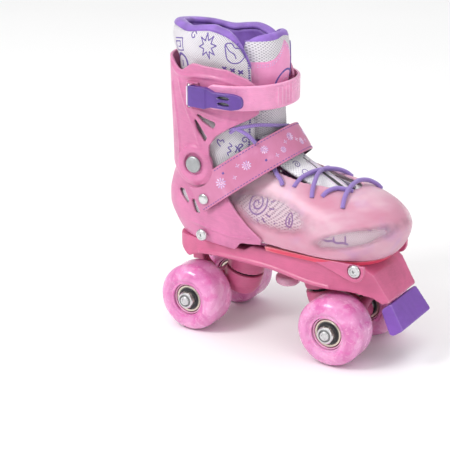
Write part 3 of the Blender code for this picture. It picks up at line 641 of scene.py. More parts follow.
# Translucent marbled polyurethane
tyre_mat = surface("wheel", (0.82, 0.30, 0.56), 0.22, Subsurface_Weight=0.45,
                   Subsurface_Radius=(0.012, 0.004, 0.008), Coat_Weight=0.3, Coat_Roughness=0.15)
marble = clouds(tyre_mat, 0.045, 4, 0.55, 0.8)
base_tone = ramp(tyre_mat, marble, [(0.32, (0.64, 0.17, 0.42)), (0.5, (0.74, 0.28, 0.54)),
                                    (0.68, (0.82, 0.40, 0.64))])
blots = clouds(tyre_mat, 0.085, 2, 0.5, 0.6, where=spot(tyre_mat, move=(31, 7, 3)))
base_tone = mix(tyre_mat, ramp(tyre_mat, blots, [(0.56, 0), (0.66, 0.6)]), base_tone, (0.70, 0.13, 0.42))
# Pale wisps: partly marbling, partly painted highlight on the translucent wheel.
pale_wisps_and_highlight = clouds(tyre_mat, 0.2, 4, 0.6, 2, where=spot(tyre_mat, move=(11, 17, 5)))
base_tone = mix(tyre_mat, ramp(tyre_mat, pale_wisps_and_highlight, [(0.55, 0), (0.70, 0.35)]), base_tone, (0.97, 0.66, 0.84))
feed(tyre_mat, "Base Color", base_tone)
tint(tyre_mat, "Roughness", marble, [(0.35, 0.16), (0.7, 0.34)])
relief(tyre_mat, (marble, 0.1))


def leather(name, dark, middle, light):
    """Printed synthetic leather: fine grain and broad paler areas."""
    mat = surface(name, middle, 0.42, Coat_Weight=0.15, Coat_Roughness=0.3)
    grain = add(mat, "TexVoronoi", {"Vector": spot(mat), "Scale": 1.1}).outputs["Distance"]
    pale = clouds(mat, 0.045, 3, 0.6, 0.6)
    tint(mat, "Base Color", pale, [(0.38, dark), (0.60, middle), (0.80, light)])
    relief(mat, (grain, 0.06), (clouds(mat, 0.25, 3), 0.1))
    return mat


leather_mat = leather("leather", (0.53, 0.165, 0.30), (0.57, 0.19, 0.35), (0.68, 0.32, 0.50))
tongue_leather = leather("tongue_leather", (0.80, 0.27, 0.52), (0.86, 0.32, 0.58), (0.92, 0.50, 0.72))

lace_mat = surface("lace", (0.30, 0.18, 0.55), 0.65, Sheen_Weight=0.3)
braid = add(lace_mat, "TexWave", {"Vector": cloth_spot(lace_mat), "Scale": 0.45, "Distortion": 0.3},
            bands_direction="DIAGONAL").outputs["Fac"]
tint(lace_mat, "Base Color", braid, [(0.2, (0.21, 0.11, 0.42)), (0.7, (0.38, 0.25, 0.66))])
relief(lace_mat, (braid, 0.3))

# Milky clear toe cap, with clearer windows low on each side where the printed mesh shows through
cap_mat = surface("toe_cap", (0.84, 0.50, 0.62), 0.36, Subsurface_Weight=0.3,
                  Subsurface_Radius=(0.006, 0.003, 0.004), Coat_Weight=0.15, Coat_Roughness=0.25)


def window(mat, centre, half, lean):
    """1 inside a soft-edged oval in the side view, 0 outside."""
    coords = add(mat, "TexCoord").outputs["Object"]
    flat = add(mat, "VectorMath", {0: coords, 1: (1000, 0, 1000)}, operation="MULTIPLY").outputs[0]
    local = add(mat, "Mapping", {"Vector": flat, "Location": (centre[0] + SHIFT_X, 0, centre[1]),
                                 "Rotation": (0, -math.radians(lean), 0), "Scale": (half[0], 1, half[1])},
                vector_type="TEXTURE").outputs["Vector"]
    wobble = clouds(mat, 0.12, 3)
    size = add(mat, "VectorMath", {0: local}, operation="LENGTH").outputs["Value"]
    reach = maths(mat, "ADD", size, maths(mat, "MULTIPLY", maths(mat, "SUBTRACT", wobble, 0.5), 0.3))
    return ramp(mat, reach, [(0.5, 1), (1.05, 0)], "EASE")


clear = maths(cap_mat, "MAXIMUM", window(cap_mat, (7, 111.5), (44, 16), -6),
              window(cap_mat, (74, 102), (35, 9), 15))
swirl = clouds(cap_mat, 0.032, 3, 0.5, 0.6, where=spot(cap_mat, (0.6, 0.6, 1.4), (0, 0.25, 0)))
milk = ramp(cap_mat, swirl,
            [(0.34, (0.66, 0.27, 0.39)), (0.5, (0.71, 0.37, 0.49)), (0.66, (0.78, 0.50, 0.60))])
smear = clouds(cap_mat, 0.05, 2, 0.5, 0.4, where=spot(cap_mat, move=(5, 3, 9)))
milk = mix(cap_mat, ramp(cap_mat, smear, [(0.56, 0), (0.72, 0.3)]), milk, (0.50, 0.30, 0.66))
feed(cap_mat, "Base Color", milk)
tint(cap_mat, "Alpha", clear, [(0, 0.82), (1, 0.16)])
relief(cap_mat, (swirl, 0.15))

# ---- the boot's levels
# Z, rear X, widest X, front X, half width, rear power
HEEL = [
    (75.6, -84, 45, 93, 38.5, 3), (84, -89.5, 45, 98, 40.9, 3),
    (98, -96.5, 45, 103, 41.7, 3), (110, -97, 40, 101, 41, 2.9),
    (122, -95, -8, 70, 37.3, 2.5), (130, -90.8, -40, 20, 36.1, 2.4),
    (138, -88.6, -46, 2, 36.2, 2.4), (158, -89.2, -46, -3, 36.3, 2.4),
]
LEG = [
    (118, -88.8, -46, 2, 36.3, 2.4), (140, -88.8, -46, -1, 36.3, 2.4),
    (163, -89.5, -46, -4, 36.3, 2.4), (195, -91, -46, -6, 36.3, 2.4),
    (226, -91.6, -46, -6.5, 36.5, 2.4),
]
TOE = [
    (79, -96, 45, 90, 38.5, 2.4), (84, -96, 45, 95, 40.8, 2.4),
    (90, -96, 45, 99.5, 42, 2.4), (98, -96, 45, 103, 42.4, 2.4),
    (105, -96, 45, 104.2, 41.9, 2.4), (111, -96, 42, 102.2, 40.4, 2.4),
    (116.5, -96, 36, 98, 38, 2.4), (121.5, -96, 28, 92, 35.2, 2.3),
    (126, -96, 17, 83, 32.2, 2.2), (129.5, -96, 5, 72, 29.8, 2.2),
    (133.5, -96, -12, 50, 27.5, 2.2), (139, -96, -30, 22, 26.5, 2.2),
]

ANKLE = (-58, 0, 140)
GAP = 0.3
DECK_Z = 75.3
FORE_DECK_Z = 79.2


def turn_with_cuff(obj):
    """Soft pieces that span the shell and the cuff: their transform is baked in and they are put on no
    body.
    """
    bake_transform(obj)


def slide_with_toe(obj):
    """Soft pieces that span the shell and the toe: their transform is baked in and they are put on no body.
    """
    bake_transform(obj)


def show(obj, body, *nodes, slot, fill=None):
    """Puts a finished piece on its body, or hands it to a function, in place of CAD nodes."""
    if callable(body):
        body(obj)
    else:
        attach(obj, body)
    if nodes:
        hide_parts(*nodes)


# ---- plate
PLATE_SIDE = rounded([
    (-72, 57.5, 3), (-82, 65, 4), (-85, 70.5, 2), (-85, DECK_Z, 1.5), (-17, DECK_Z, 0),
    (-11, FORE_DECK_Z, 0), (80, FORE_DECK_Z, 3), (90, 73, 4), (103.4, 53.2, 1.5),
    (97, 50.6, 1.5), (90, 54.5, 3), (74, 57.6, 4), (40, 58.5, 6), (7, 63.5, 8),
    (-52, 64.5, 6), (-64, 61.5, 5),
])
PLATE_PLAN = mirrored([(-88, -14, 12), (-80, -29, 12), (-62, -33.5, 12), (-20, -35, 0), (58, -35, 10),
                       (88, -26, 8), (106, -22.5, 0)])
PLATE_HOLLOW = mirrored([(-79, -14, 6), (-73, -24, 6), (-60, -30, 6), (-20, -31.8, 0), (56, -31.8, 8),
                         (80, -24, 6), (91, -20, 2)])
TILT = math.radians(15)
TRUCK_X = 39  # the cushions' middle
BALL_REACH = 39.5  # from there to the ball that the hanger turns on
WHEEL_R, WHEEL_Y = 27, 32.5
ACROSS = (0, 1, 0)
UPRIGHT = (0, 0, 1)


def truck_frame(end):
    """A truck's middle, the way to its ball and the way up its kingpin. end is -1 behind and 1 in front."""
    centre = Vector((end * TRUCK_X, 0, 36.3))
    out = Vector((end * math.cos(TILT), 0, math.sin(TILT)))
    up = Vector((-end * math.sin(TILT), 0, math.cos(TILT)))
    return centre, out, up


def make_plate():
    """The plate with its hollow underside, truck bosses, ball seats, ribs and side lips."""
    plate = prism("plate_moulding", PLATE_SIDE, -40, 40, mat=deep_mat)
    keep(plate, tool(prism, PLATE_PLAN, 40, 90, "Z"))
    under = tool(prism, rounded([(-91, 40, 0), (-79, 60, 3), (-79, 71.5, 2), (-18, 71.5, 2),
                                (-12, 75.5, 2), (78, 75.5, 3), (86, 70, 3), (93, 58, 3), (93, 40, 0)]),
                  -38, 38)
    cut(plate, keep(under, tool(prism, PLATE_HOLLOW, 30, 95, "Z")))
    for end in (-1, 1):
        centre, out, up = truck_frame(end)
        boss = tool(lathe, [(0, 10.4), (15.5, 10.4), (17.5, 36), (0, 36)], 48, centre, up)
        top, rib_top = (73.5, 72) if end < 0 else (77.5, 76)
        join(plate, keep(boss, tool(box, (-120, -40, 40), (120, 40, top))))
        foot = centre + out * BALL_REACH
        join(plate, tool(prism, [(foot.x - end * 4.5, foot.z - 1), (foot.x + end * 6.5, foot.z - 1),
                                (foot.x + end * 6.5, 73), (foot.x - end * 4.5, 73)], -7, 7))
        for y in (-18, 18):  # cross ribs that stiffen the deck round each truck
            join(plate, tool(box, (end * TRUCK_X - 22, y - 1, 66), (end * TRUCK_X + 22, y + 1, rib_top)))
    for end in (-1, 1):
        centre, out, up = truck_frame(end)
        cut(plate,
            tool(lathe, [(0, 5), (11.8, 5), (11.8, 16), (4.4, 16), (4.4, 25), (0, 25)], 32, centre, up),
            tool(lathe, [(0, -16), (9.5, -16), (5.8, -1), (4.2, 3.5), (0, 5.4)], 24,
                 centre + out * BALL_REACH, up))
    cut(plate, tool(box, (-12, -3.2, 60), (18, 3.2, 90)),
        tool(box, (-78, -12, 68), (-60, 12, 90)))
    # A raised lip runs along the lower edge of each side.
    for side in BOTH:
        lip = smooth_line([(-60, side * 33.6, 64.5), (-40, side * 34.6, 66.3), (-10, side * 35, 66.4),
                           (10, side * 35, 65.2), (40, side * 35, 60.6), (58, side * 34.9, 60)], 6)
        join(plate, tool(sweep, lip, circle(1.5, 10)))
    return settle(plate, 0.8, 4)


show(make_plate(), CHASSIS, "plate", slot="plate_pink")

# ---- trucks and wheels
def make_hanger(tag, end, axle_spot):
    """The casting that holds an axle: a cup for the cushion, an arm, a sleeve and the ball it turns on."""
    centre, out, up = truck_frame(end)
    ball_spot = centre + out * BALL_REACH
    hanger = lathe("hanger_casting_" + tag, [
        (0, -10), (10, -10), (12.2, -9.2), (13, -7.6), (15.3, -2), (15.9, 4), (15.6, 8.2), (0, 8.2),
    ], 56, centre, up, mat=deep_mat)
    arm = rounded([(end * 44, 30, 2), (end * 56, 21, 5), (end * 66, 20, 5), (end * 70, 30, 5),
                   (end * 66, 36, 5), (end * 54, 42, 4), (end * 46, 42, 2)][::end])
    sleeve = [(0, -15.9), (8.2, -15.9), (9, -14.8), (9, 14.8), (8.2, 15.9), (0, 15.9)]
    ball = [(0, -20), (6, -20), (3.6, -4), (4, 0), (2.8, 2.8), (0, 4)]
    cup = [(0, -14), (8.6, -14), (8.6, -3.6), (5.4, -3.6), (5.4, 3), (11.8, 3), (11.8, 14), (0, 14)]
    join(hanger,
         tool(lathe, sleeve, 40, axle_spot, ACROSS),
         tool(prism, arm, -9, 9),
         tool(lathe, ball, 24, ball_spot, (ball_spot - axle_spot).normalized()))
    cut(hanger, tool(lathe, cup, 40, centre, up), rod(4.3, -20, 20, 24, axle_spot, ACROSS))
    return settle(hanger, 0.6, 4)


def make_axle(tag, axle_spot):
    """A through axle with a shoulder on each side and thread at its ends."""
    thread = []
    for k in range(9):
        thread += [(4, 46.8 + 0.42 * k), (3.7, 47 + 0.42 * k)]
    half = [(4, 16.3), (5.6, 16.3), (5.6, 20.1), (4, 20.1), *thread,
            (4, 50.4), (3.2, 51.3), (2.2, 51.4), (1.8, 50.8), (0, 50.8)]
    profile = [(r, -h) for r, h in reversed(half)] + half
    return settle(lathe("axle_rod_" + tag, profile, 32, axle_spot, ACROSS, mat=steel_mat))


def make_tyre(tag, middle, turn):
    """A tyre with rounded shoulders and a dished face on each side."""
    face = [(26.9, 3), (27, 6)]
    for k in range(1, 13):  # the rounded shoulder
        a = math.pi / 2 * k / 12
        face.append((18.4 + 8.6 * math.cos(a), 7.2 + 8.7 * math.sin(a)))
    face += [(17.4, 15.8), (16.4, 15.3), (15.4, 14.6), (14.6, 14.2), (14, 14.3), (13.5, 14.6),
             (13.05, 14.2)]
    profile = [(13, -12.5), *[(r, -h) for r, h in reversed(face)], (26.95, 0), *face, (13, 12.5)]
    return lathe("tyre_cast_" + tag, profile, 80, middle, turn, mat=tyre_mat)


def make_nut(tag, middle, turn):
    """A hexagon nut with bevelled corners, on a washer, with a locking ring."""
    hexagon = [(4.1, 12.5), (7.4, 12.5), (7.4, 17.6), (4.1, 17.6)]
    nut = lathe("axle_nut_hex_" + tag, hexagon, 6, middle, turn, mat=steel_mat)
    bevels = [(0, 12), (6.2, 12.4), (6.9, 13), (6.9, 16.6), (6.1, 17.6), (0, 17.8)]
    settle(keep(nut, tool(lathe, bevels, 48, middle, turn)))
    washer = lathe("r", [(4.2, 12.15), (5.8, 12.15), (5.8, 12.45), (4.2, 12.45)], 32, middle, turn,
                   mat=steel_mat)
    lock = lathe("r", [(4.05, 17.3), (5.2, 17.3), (5, 18), (4.4, 18.3), (4.05, 18.2)], 32, middle, turn,
                 mat=seal_mat)
    return merge("axle_nut_set_" + tag, [nut, washer, lock])


CUSHION = [(4.8, 4), (10.1, 4), (10.7, 4.6), (10.8, 5.6), (10.2, 9.3), (10.7, 13.4), (10.8, 14.6),
           (10.3, 15.4), (4.8, 15.4)]
CONE = [(4.6, -6.8), (7.2, -6.8), (7.7, -6.1), (7.4, -4.5), (4.6, -4.5)]
KINGPIN = [(0, -12.4), (2.9, -12.4), (3.3, -12), (3.3, -11.6), (6, -11.6), (6.3, -11.2), (6.3, -8.5),
           (6, -8.2), (7.4, -8.2), (7.5, -7.7), (7.4, -7.2), (3.9, -7.2), (3.9, 24), (0, 24)]
CORE = [(11.5, -12), (11.8, -12.4), (12.6, -12.4), (12.7, -12), (12.7, 12), (12.6, 12.4), (11.8, 12.4),
        (11.5, 12), (11.5, 4.7), (8.5, 4.7), (8.5, -4.7), (11.5, -4.7)]
BEARING = (  # outer ring, inner ring and shield
    ([(9.2, 5.2), (11, 5.2), (11, 11.7), (10.7, 12), (9.6, 12), (9.2, 11.7)], 48, brass_mat),
    ([(4.3, 5.2), (5.9, 5.2), (5.9, 11.9), (5.7, 12.1), (4.6, 12.1), (4.3, 11.9)], 40, steel_mat),
    ([(6, 5.6), (9.1, 5.6), (9.1, 11.1), (8.7, 11.5), (8, 11.2), (7.2, 11.2), (6.5, 11.5), (6, 11.1)],
     40, seal_mat),
)
for end, tag in ((-1, "rear"), (1, "front")):
    centre, out, up = truck_frame(end)
    axle_spot = Vector((end * HALF_BASE, 0, WHEEL_R))
    truck = "truck_" + tag
    show(make_hanger(tag, end, axle_spot), truck, "hanger_" + tag, slot="plate_pink")
    for name, profile, steps, node in (("cushion_pad_", CUSHION, 48, "cushion_upper_"),
                                       ("cushion_cone_", CONE, 40, "cushion_lower_")):
        show(lathe(name + tag, profile, steps, centre, up, mat=rubber_mat), CHASSIS, node + tag,
             slot="cushion_rubber")
    show(settle(lathe("kingpin_bolt_" + tag, KINGPIN, 36, centre, up, mat=steel_mat)), CHASSIS,
         "kingpin_" + tag, slot="steel")
    show(make_axle(tag, axle_spot), truck, "axle_" + tag, slot="steel")
    for side, hand in HANDS:
        middle = axle_spot + Vector((0, side * WHEEL_Y, 0))
        turn = (0, side, 0)
        spot_tag = f"{tag}_{hand}"
        wheel = "wheel_" + spot_tag
        show(make_tyre(spot_tag, middle, turn), wheel, "tyre_" + spot_tag, slot="wheel_pink")
        show(settle(lathe("core_moulding_" + spot_tag, CORE, 48, middle, turn, mat=core_mat)), wheel,
             "core_" + spot_tag, slot="core_pink")
        for face_side, where in ((side, "out"), (-side, "in")):
            name = f"{spot_tag}_{where}"
            rings = [lathe("r", ring, steps, middle, (0, face_side, 0), mat=mat)
                     for ring, steps, mat in BEARING]
            show(settle(merge("bearing_rings_" + name, rings)), wheel, "bearing_" + name,
                 slot="bearing_dark")
        show(make_nut(spot_tag, middle, turn), truck, "axle_nut_" + spot_tag, slot="steel")

# ---- toe stop, bolts and adjuster
stop = prism("toe_stop_block", rounded([(103.4, 52.4, 2), (116, 34.2, 2.5), (106, 26.8, 4), (96, 46, 3)]),
             -29.5, 29.5, mat=stop_mat)
keep(stop, tool(prism, [(-22.2, 53), (-26.5, 26), (26.5, 26), (22.2, 53)], 80, 120, "X"))
STOP_BOLT = ((102, 0, 34.5), (-0.62, 0, -0.78))  # place and direction
cut(stop, rod(6, -0.4, 8, 32, *STOP_BOLT))
show(settle(stop, 0.6, 5), CHASSIS, "toe_stop", slot="stop_purple")


def socket_bolt(name, base, pos, axis, radius=5.1):
    """A low round bolt head with a rim and a hexagon socket. base is its height over pos."""
    outline = [(0, 0), (radius - 0.1, 0), (radius, 1), (radius - 0.4, 1.9), (radius - 1.1, 2.4),
               (radius - 1.9, 2.4), (radius - 2.3, 1.7), (2.2, 1.6), (0, 1.6)]
    head = lathe(name, [(r, base + h) for r, h in outline], 48, pos, axis, mat=steel_mat)
    return settle(cut(head, rod(1.5, base + 0.6, base + 3, 6, pos, axis)))


show(socket_bolt("toe_stop_screw", 0, *STOP_BOLT), CHASSIS, "toe_stop_bolt", slot="steel")
show(lathe("adjuster_button",
           [(0, -6.5), (5.5, -6.5), (7.6, -5.9), (9.2, -4.6), (9.9, -2.8), (10, -1.2), (9.7, 0.4), (9, 1.3),
            (4.6, 2.3), (3.2, 3), (2.9, 4.2), (2.9, 28), (0, 28)], 56, (3, 0, 45.5), mat=knob_mat),
     "adjuster", "adjust_knob", slot="core_pink")
for side, hand in HANDS:
    show(socket_bolt("flap_bolt_" + hand, 0.35, (80, side * 37, 78.6), (0, side, 0)), TOE_BODY,
         "toe_bolt_" + hand, slot="steel")
    show(socket_bolt("heel_screw_" + hand, 0, (-52, side * 40.9, 82.6), (0, side, 0), 4.9), CHASSIS,
         "heel_bolt_" + hand, slot="steel")
    disc = lathe("ankle_pivot_" + hand,
                 [(0, 36.8), (3.5, 36.8), (3.5, 42.8), (6.4, 42.8), (6.7, 43.2), (6.7, 43.9), (6.4, 44.6),
                  (5.7, 45.1), (5.2, 45.2), (4.9, 45.05), (3.2, 45.4), (0, 45.6)], 56, ANKLE, (0, side, 0),
                 mat=rivet_mat)
    show(settle(disc, sharp=50), CHASSIS, "ankle_rivet_" + hand, slot="steel")
    stud = lathe("strap_stud_" + hand,
                 [(0, 45.7), (4.1, 45.7), (4.3, 46), (4.1, 46.6), (3.2, 47.2), (1.6, 47.4),
                                        (0, 47.4)], 40, (-47.4, 0, 114.3), (0, side, 0), mat=steel_mat)
    show(stud, CHASSIS, "strap_rivet_" + hand, slot="steel")

# ---- toe carriage
base = loft("toe_sole", [at(TOE, 79.5), at(TOE, 83.6)], -0.4, 96, 1, mat=shaded_sole_mat)
keep(base, tool(box, (4, -50, 60), (110, 50, 95)))
FLAP = rounded([(44, 83.4, 0), (44, 81, 1), (60, 76, 6), (73, 71.5, 5), (80, 69.6, 8), (86, 72, 5),
                (88, 77, 3), (88, 83.4, 0)])
flaps = []
for side in BOTH:
    flap = prism("f", FLAP, *sorted((side * 35.6, side * 38.6)), mat=deep_mat)
    cut(flap, rod(5.6, 0, 5, 40, (80, side * 37, 78.6), (0, side, 0)))
    flaps.append(settle(flap, 0.5, 3))
show(merge("toe_sole_flaps", flaps), TOE_BODY, slot="shell_pink")
show(settle(base), TOE_BODY, "toe_base", slot="shell_pink")

TOE_SIDE = rounded([
    (-33, 108, 4), (-24, 93, 6), (4, 86.5, 12), (26, 85.2, 20), (50, 84.5, 20), (80, 84, 10),
    (112, 84, 0), (112, 150, 0), (2, 150, 0), (-14, 138, 6), (-20, 132, 4), (-33, 119, 4),
])
THROAT = mirrored([(-60, -21, 0), (28, -21, 16), (61, -12, 12), (64, 0, 12)])
cap = loft("toe_cap_clear", TOE, 0, 110, 2, wall=2.2, open_ends=True, mat=cap_mat)
keep(cap, tool(prism, TOE_SIDE, -50, 50))
cut(cap, tool(prism, THROAT, 112, 160, "Z"))
show(settle(cap, 0.8, 5), TOE_BODY, "toe_cap", slot="toe_clear_pink")

SOCK = [(z - 4 * min(1, max(0, (z - 105) / 12)), *more) for z, *more in TOE[1:]]
sock = loft("toe_sock", SOCK, -2.8, 110, 2, wall=2.4, open_ends=True, mat=sock_mat)
keep(sock, tool(prism, [(-28, 85.2), (110, 85.2), (110, 150), (-4, 150), (-28, 106)], -50, 50))
cut(sock, tool(prism, mirrored([(-60, -19, 0), (26, -19, 12), (56, -11, 8), (59, 0, 8)]), 108, 160, "Z"))
show(settle(sock), slide_with_toe, "liner_toe", slot="white_mesh")

# ---- heel shell and cuff
SHELL_SIDE = rounded([
    (-110, DECK_Z + GAP, 0), (-23, DECK_Z + GAP, 2), (-16, 83, 3), (2.5, 85.4, 1.5),
    (3.5, 90, 2), (-9, 98.5, 8), (-20, 108, 8), (-31, 119, 6), (-42, 129, 5), (-44, 146, 8),
    (-52, 152, 8), (-61, 150, 8), (-72, 141, 8), (-80, 131.5, 6), (-110, 131.5, 0),
])
shell = loft("heel_moulding", HEEL, 3.3, 110, 2, wall=2.5, open_ends=True, mat=shell_mat)
keep(shell, tool(prism, SHELL_SIDE, -50, 50))
slab = tool(loft, [at(HEEL, 75.6), at(HEEL, 79.4)], 2, 96, 1)
join(shell, keep(slab, tool(box, (-100, -45, DECK_Z + GAP), (-25, 45, 79))))
SHELL_SLOTS = (
    [(-81, 113.5, 1), (-74, 114.5, 1), (-67, 106, 1), (-69.5, 104, 1), (-76.5, 108.5, 1)],
    [(-65, 109.5, 1), (-61.5, 109, 1), (-54.5, 99.5, 1), (-60, 98.5, 1)],
)
for slot in SHELL_SLOTS:
    cut(shell, tool(prism, rounded(slot, 3), -THROUGH, THROUGH))
cut(shell, tool(box, (-78, -12, 74), (-60, 12, 82)))
drill = rod(3.9, -THROUGH, THROUGH, 40, ANKLE, ACROSS)
cut(shell, drill)
# A raised rib runs along the heel's lower edge on each side.
for side in BOTH:
    low_rib = smooth_line([side_point(HEEL, 3.1, x, z, side) for x, z in
                           ((-84, 88), (-60, 90.5), (-38, 88.5), (-20, 87.5), (-6, 90))], 6)
    join(shell, tool(sweep, low_rib, circle(1.1, 10)))
show(settle(shell, 0.8, 4), CHASSIS, "heel_shell", slot="shell_pink")

CUFF_SIDE = rounded([
    (-110, 138.5, 0), (-90, 136.5, 8), (-77, 128, 6), (-71, 124, 5), (-58, 121.5, 10), (-45, 126, 8),
    (-40.5, 138, 6), (-44.5, 148, 5), (-45, 156, 5), (-39, 164.5, 6), (-27, 172.5, 12),
    (-14, 179.5, 3), (-9.5, 183, 2), (-9.5, 203, 4), (-16, 210, 5), (-30, 217, 12),
    (-60, 219, 8), (-73, 210.5, 8), (-86, 219, 8), (-110, 221, 0),
])
cuff = loft("cuff_moulding", LEG, 6.2, 110, 2.5, wall=2.5, open_ends=True, mat=shell_mat)
keep(cuff, tool(prism, CUFF_SIDE, -THROUGH, THROUGH))
for slot in ([(-60, 181.8, 0.5), (-51, 178.6, 3), (-38.5, 175, 1), (-41, 170.2, 1), (-50, 174.4, 3)],
             [(-60, 179, 0.5), (-53.5, 171.5, 3), (-46.4, 163, 1), (-48.6, 158.6, 1), (-56, 168, 3)]):
    cut(cuff, tool(prism, rounded(slot, 3), -THROUGH, THROUGH))
cut(cuff, drill)
for side in BOTH:
    for line, radius in (
        (((-86, 218), (-80, 211), (-70, 208), (-56, 209.5), (-40, 209.8), (-26, 207.5), (-14, 202)), 1.5),
        (((-74, 205), (-70, 192), (-64, 180), (-57, 167), (-52.5, 154)), 1.4),
        (((-84, 200), (-79, 180), (-76, 164), (-75, 150), (-76, 138)), 1.4),
        (((-64, 183.5), (-50, 183), (-34, 179.5), (-22, 178)), 1.3),
    ):
        rib = smooth_line([side_point(LEG, 5.9, x, z, side) for x, z in line], 8)
        join(cuff, tool(sweep, rib, circle(radius, 10)))
    join(cuff, tool(lathe, [(8.8, 40.5), (8.8, 43), (9.4, 43.6), (13.4, 43.6), (15.4, 42.4),
                            (15.4, 40.5)], 64,
                     ANKLE, (0, side, 0)))
show(settle(cuff, 0.8, 4), CUFF_BODY, "cuff", slot="shell_pink")

# ---- skins, prints and stitches
def pick(pairs, u):
    """A value read from (u, value) pairs, straight between them."""
    return float(np.interp(u, [p[0] for p in pairs], [p[1] for p in pairs]))


def welded(obj, reach=0.002):
    """Closes seams where rows of points meet. reach is in millimetres."""
    work = bmesh.new()
    work.from_mesh(obj.data)
    bmesh.ops.remove_doubles(work, verts=work.verts, dist=reach * MM)
    bmesh.ops.recalc_face_normals(work, faces=work.faces)
    work.to_mesh(obj.data)
    work.free()
    return obj


def tree_of(obj):
    """A finished piece's faces, for laying things on it."""
    faces = [tuple(p.vertices) for p in obj.data.polygons]
    return BVHTree.FromPolygons([v.co for v in obj.data.vertices], faces)


def hit(tree, start, toward):
    """Where a straight line first meets a skin: the point, in millimetres, and the outward normal."""
    toward = Vector(toward)
    place, normal, _, _ = tree.ray_cast(world(start), toward)
    if place is None:
        return None
    if normal.dot(toward) > 0:
        normal = -normal
    return Vector((place.x / MM - SHIFT_X, place.y / MM, place.z / MM)), normal


def from_side(tree, side=-1):
    """Lays (X, Z) points on a skin seen from one side of the skate."""
    return lambda u, v: hit(tree, (u, side * 120, v), (0, -side, 0))


def from_front(tree):
    """Lays (Y, Z) points on a skin seen from the toe."""
    return lambda u, v: hit(tree, (150, u, v), (-1, 0, 0))


def from_top(tree):
    """Lays (X, Y) points on a skin seen from above."""
    return lambda u, v: hit(tree, (u, v, 300), (0, 0, -1))


def lay(line, put, fine=3, closed=False):
    """A smooth line of flat points laid on a skin, as points and normals."""
    flat = smooth_line([(u, v, 0) for u, v in line], fine, closed)
    if closed:
        flat.append(flat[0])
    found = [each for each in (put(p.x, p.y) for p in flat) if each]
    return [p for p, _ in found], [n for _, n in found]


def ribbon(points, normals, width, mat, high=0.13):
    """A thin raised band along a line on a skin."""
    half = width / 2
    section = [(-half, -0.3), (half, -0.3), (half, high * 0.5), (half * 0.7, high), (-half * 0.7, high),
               (-half, high * 0.5)]
    return sweep("r", points, section, normals, mat=mat)


def prints(name, put, strokes, mat):
    """Line drawings on a skin. A stroke is (points, width), and True after them closes it."""
    made = []
    for line, width, *closed in strokes:
        points, normals = lay(line, put, 4, bool(closed))
        if len(points) > 1:
            made.append(ribbon(points, normals, width, mat))
    return merge(name, made)


def dashes(name, runs, mat, long=1.5, pitch=2.5, wide=0.55, high=0.22):
    """Stitches along runs of (points, normals)."""
    verts, faces = [], []
    for points, normals in runs:
        reach, aim = 0, pitch / 2
        for p, q, n in zip(points, points[1:], normals):
            step = (q - p).length
            while step > 0 and reach + step >= aim:
                middle = p.lerp(q, (aim - reach) / step)
                ahead = (q - p).normalized()
                side = ahead.cross(n).normalized()
                first = len(verts)
                for h, shrink in ((-0.25, 1), (high * 0.4, 1), (high, 0.6)):
                    for a, b in ((-1, -1), (1, -1), (1, 1), (-1, 1)):
                        verts.append(tuple(middle + ahead * (a * long / 2 * shrink)
                                           + side * (b * wide / 2 * shrink) + n * h))
                faces.append(tuple(first + k for k in (3, 2, 1, 0)))
                faces.append(tuple(first + 8 + k for k in range(4)))
                for ring in (0, 4):
                    for k in range(4):
                        j = (k + 1) % 4
                        faces.append((first + ring + k, first + ring + j, first + ring + 4 + j,
                                      first + ring + 4 + k))
                aim += pitch
            reach += step
    return build(name, verts, faces, mat=mat)


def placed(shape, centre, size=1, lean=0, mirror=1):
    """A drawing's points scaled, turned by lean degrees and moved to its centre."""
    c, s = math.cos(math.radians(lean)), math.sin(math.radians(lean))
    return [(centre[0] + size * (mirror * u * c - v * s), centre[1] + size * (mirror * u * s + v * c))
            for u, v in shape]


def spiral(turns, start, end, steps=14):
    """A flat spiral from one radius to another."""
    count = int(turns * steps)
    reach = [start + (end - start) * k / count for k in range(count + 1)]
    return [(r * math.cos(2 * math.pi * k / steps), r * math.sin(2 * math.pi * k / steps))
            for k, r in enumerate(reach)]


def star(spikes, outer, inner, tall=1):
    """A flat star's corners."""
    reach = [outer, inner] * spikes
    return [(r * math.sin(math.pi * k / spikes), r * tall * math.cos(math.pi * k / spikes))
            for k, r in enumerate(reach)]


def sharp_line(corners, close=True):
    """Straight strokes: each corner is kept by points set close to it."""
    out = []
    count = len(corners)
    for i in range(count if close else count - 1):
        a, b = Vector(corners[i]), Vector(corners[(i + 1) % count])
        out += [tuple(a.lerp(b, t)) for t in (0.02, 0.5, 0.98)]
    return out


# ---- soft boot
BOOT = [at(HEEL, z) for z in (79.8, 84, 98, 110, 122, 130, 138, 150)] + [
    (164, -87.4, -46, -5, 36, 2.4), (200, -89.2, -46, -7.5, 35.9, 2.4),
    (218, -89.6, -46, -8, 36, 2.4), (228, -94, -46, -8.5, 37.3, 2.4),
    (236, -96.5, -46, -9.5, 36.6, 2.4), (243, -95.5, -46, -10.5, 34.4, 2.4),
    (249, -93, -46, -12, 32, 2.4),
]
BOOT_EDGE = [(80, -36.6), (118, -36.6), (126, -31), (134, -25), (140, -19), (150, -13.5), (170, -14),
             (188, -16), (211, -17), (250, -17)]  # height, X of the front edge
BOOT_TOP = [(-97, 244.5), (-84, 243.5), (-70, 241), (-58, 242.5), (-46, 243.5), (-34, 240.5), (-27, 236),
            (-23, 231), (-20, 225), (-18, 219), (-16, 212)]  # X, height of the rim
BOOT_TOP = [(p.x, p.y) for p in smooth_line([(x, z, 0) for x, z in BOOT_TOP], 6)]
BOOT_LEAN = 0.13  # the inner side stands lower
BOOT_WALL = 4.2
BOOT_ROWS = 66
BOOT_FOOT = 80
BOOT_GIRTH = 210  # rough length round the boot from one front edge to the other
EDGE_ROUND = 2.3  # how far from a front edge the wall thins to nothing
EDGE_FADE = 12  # how far from a front edge the padding reaches its full depth
PAD_FROM = 214  # height at which the outer face starts to swell
RIM = 3.6
RIM_STEPS = 12
PUFF = 3.4  # extra thickness of the lining near the rim
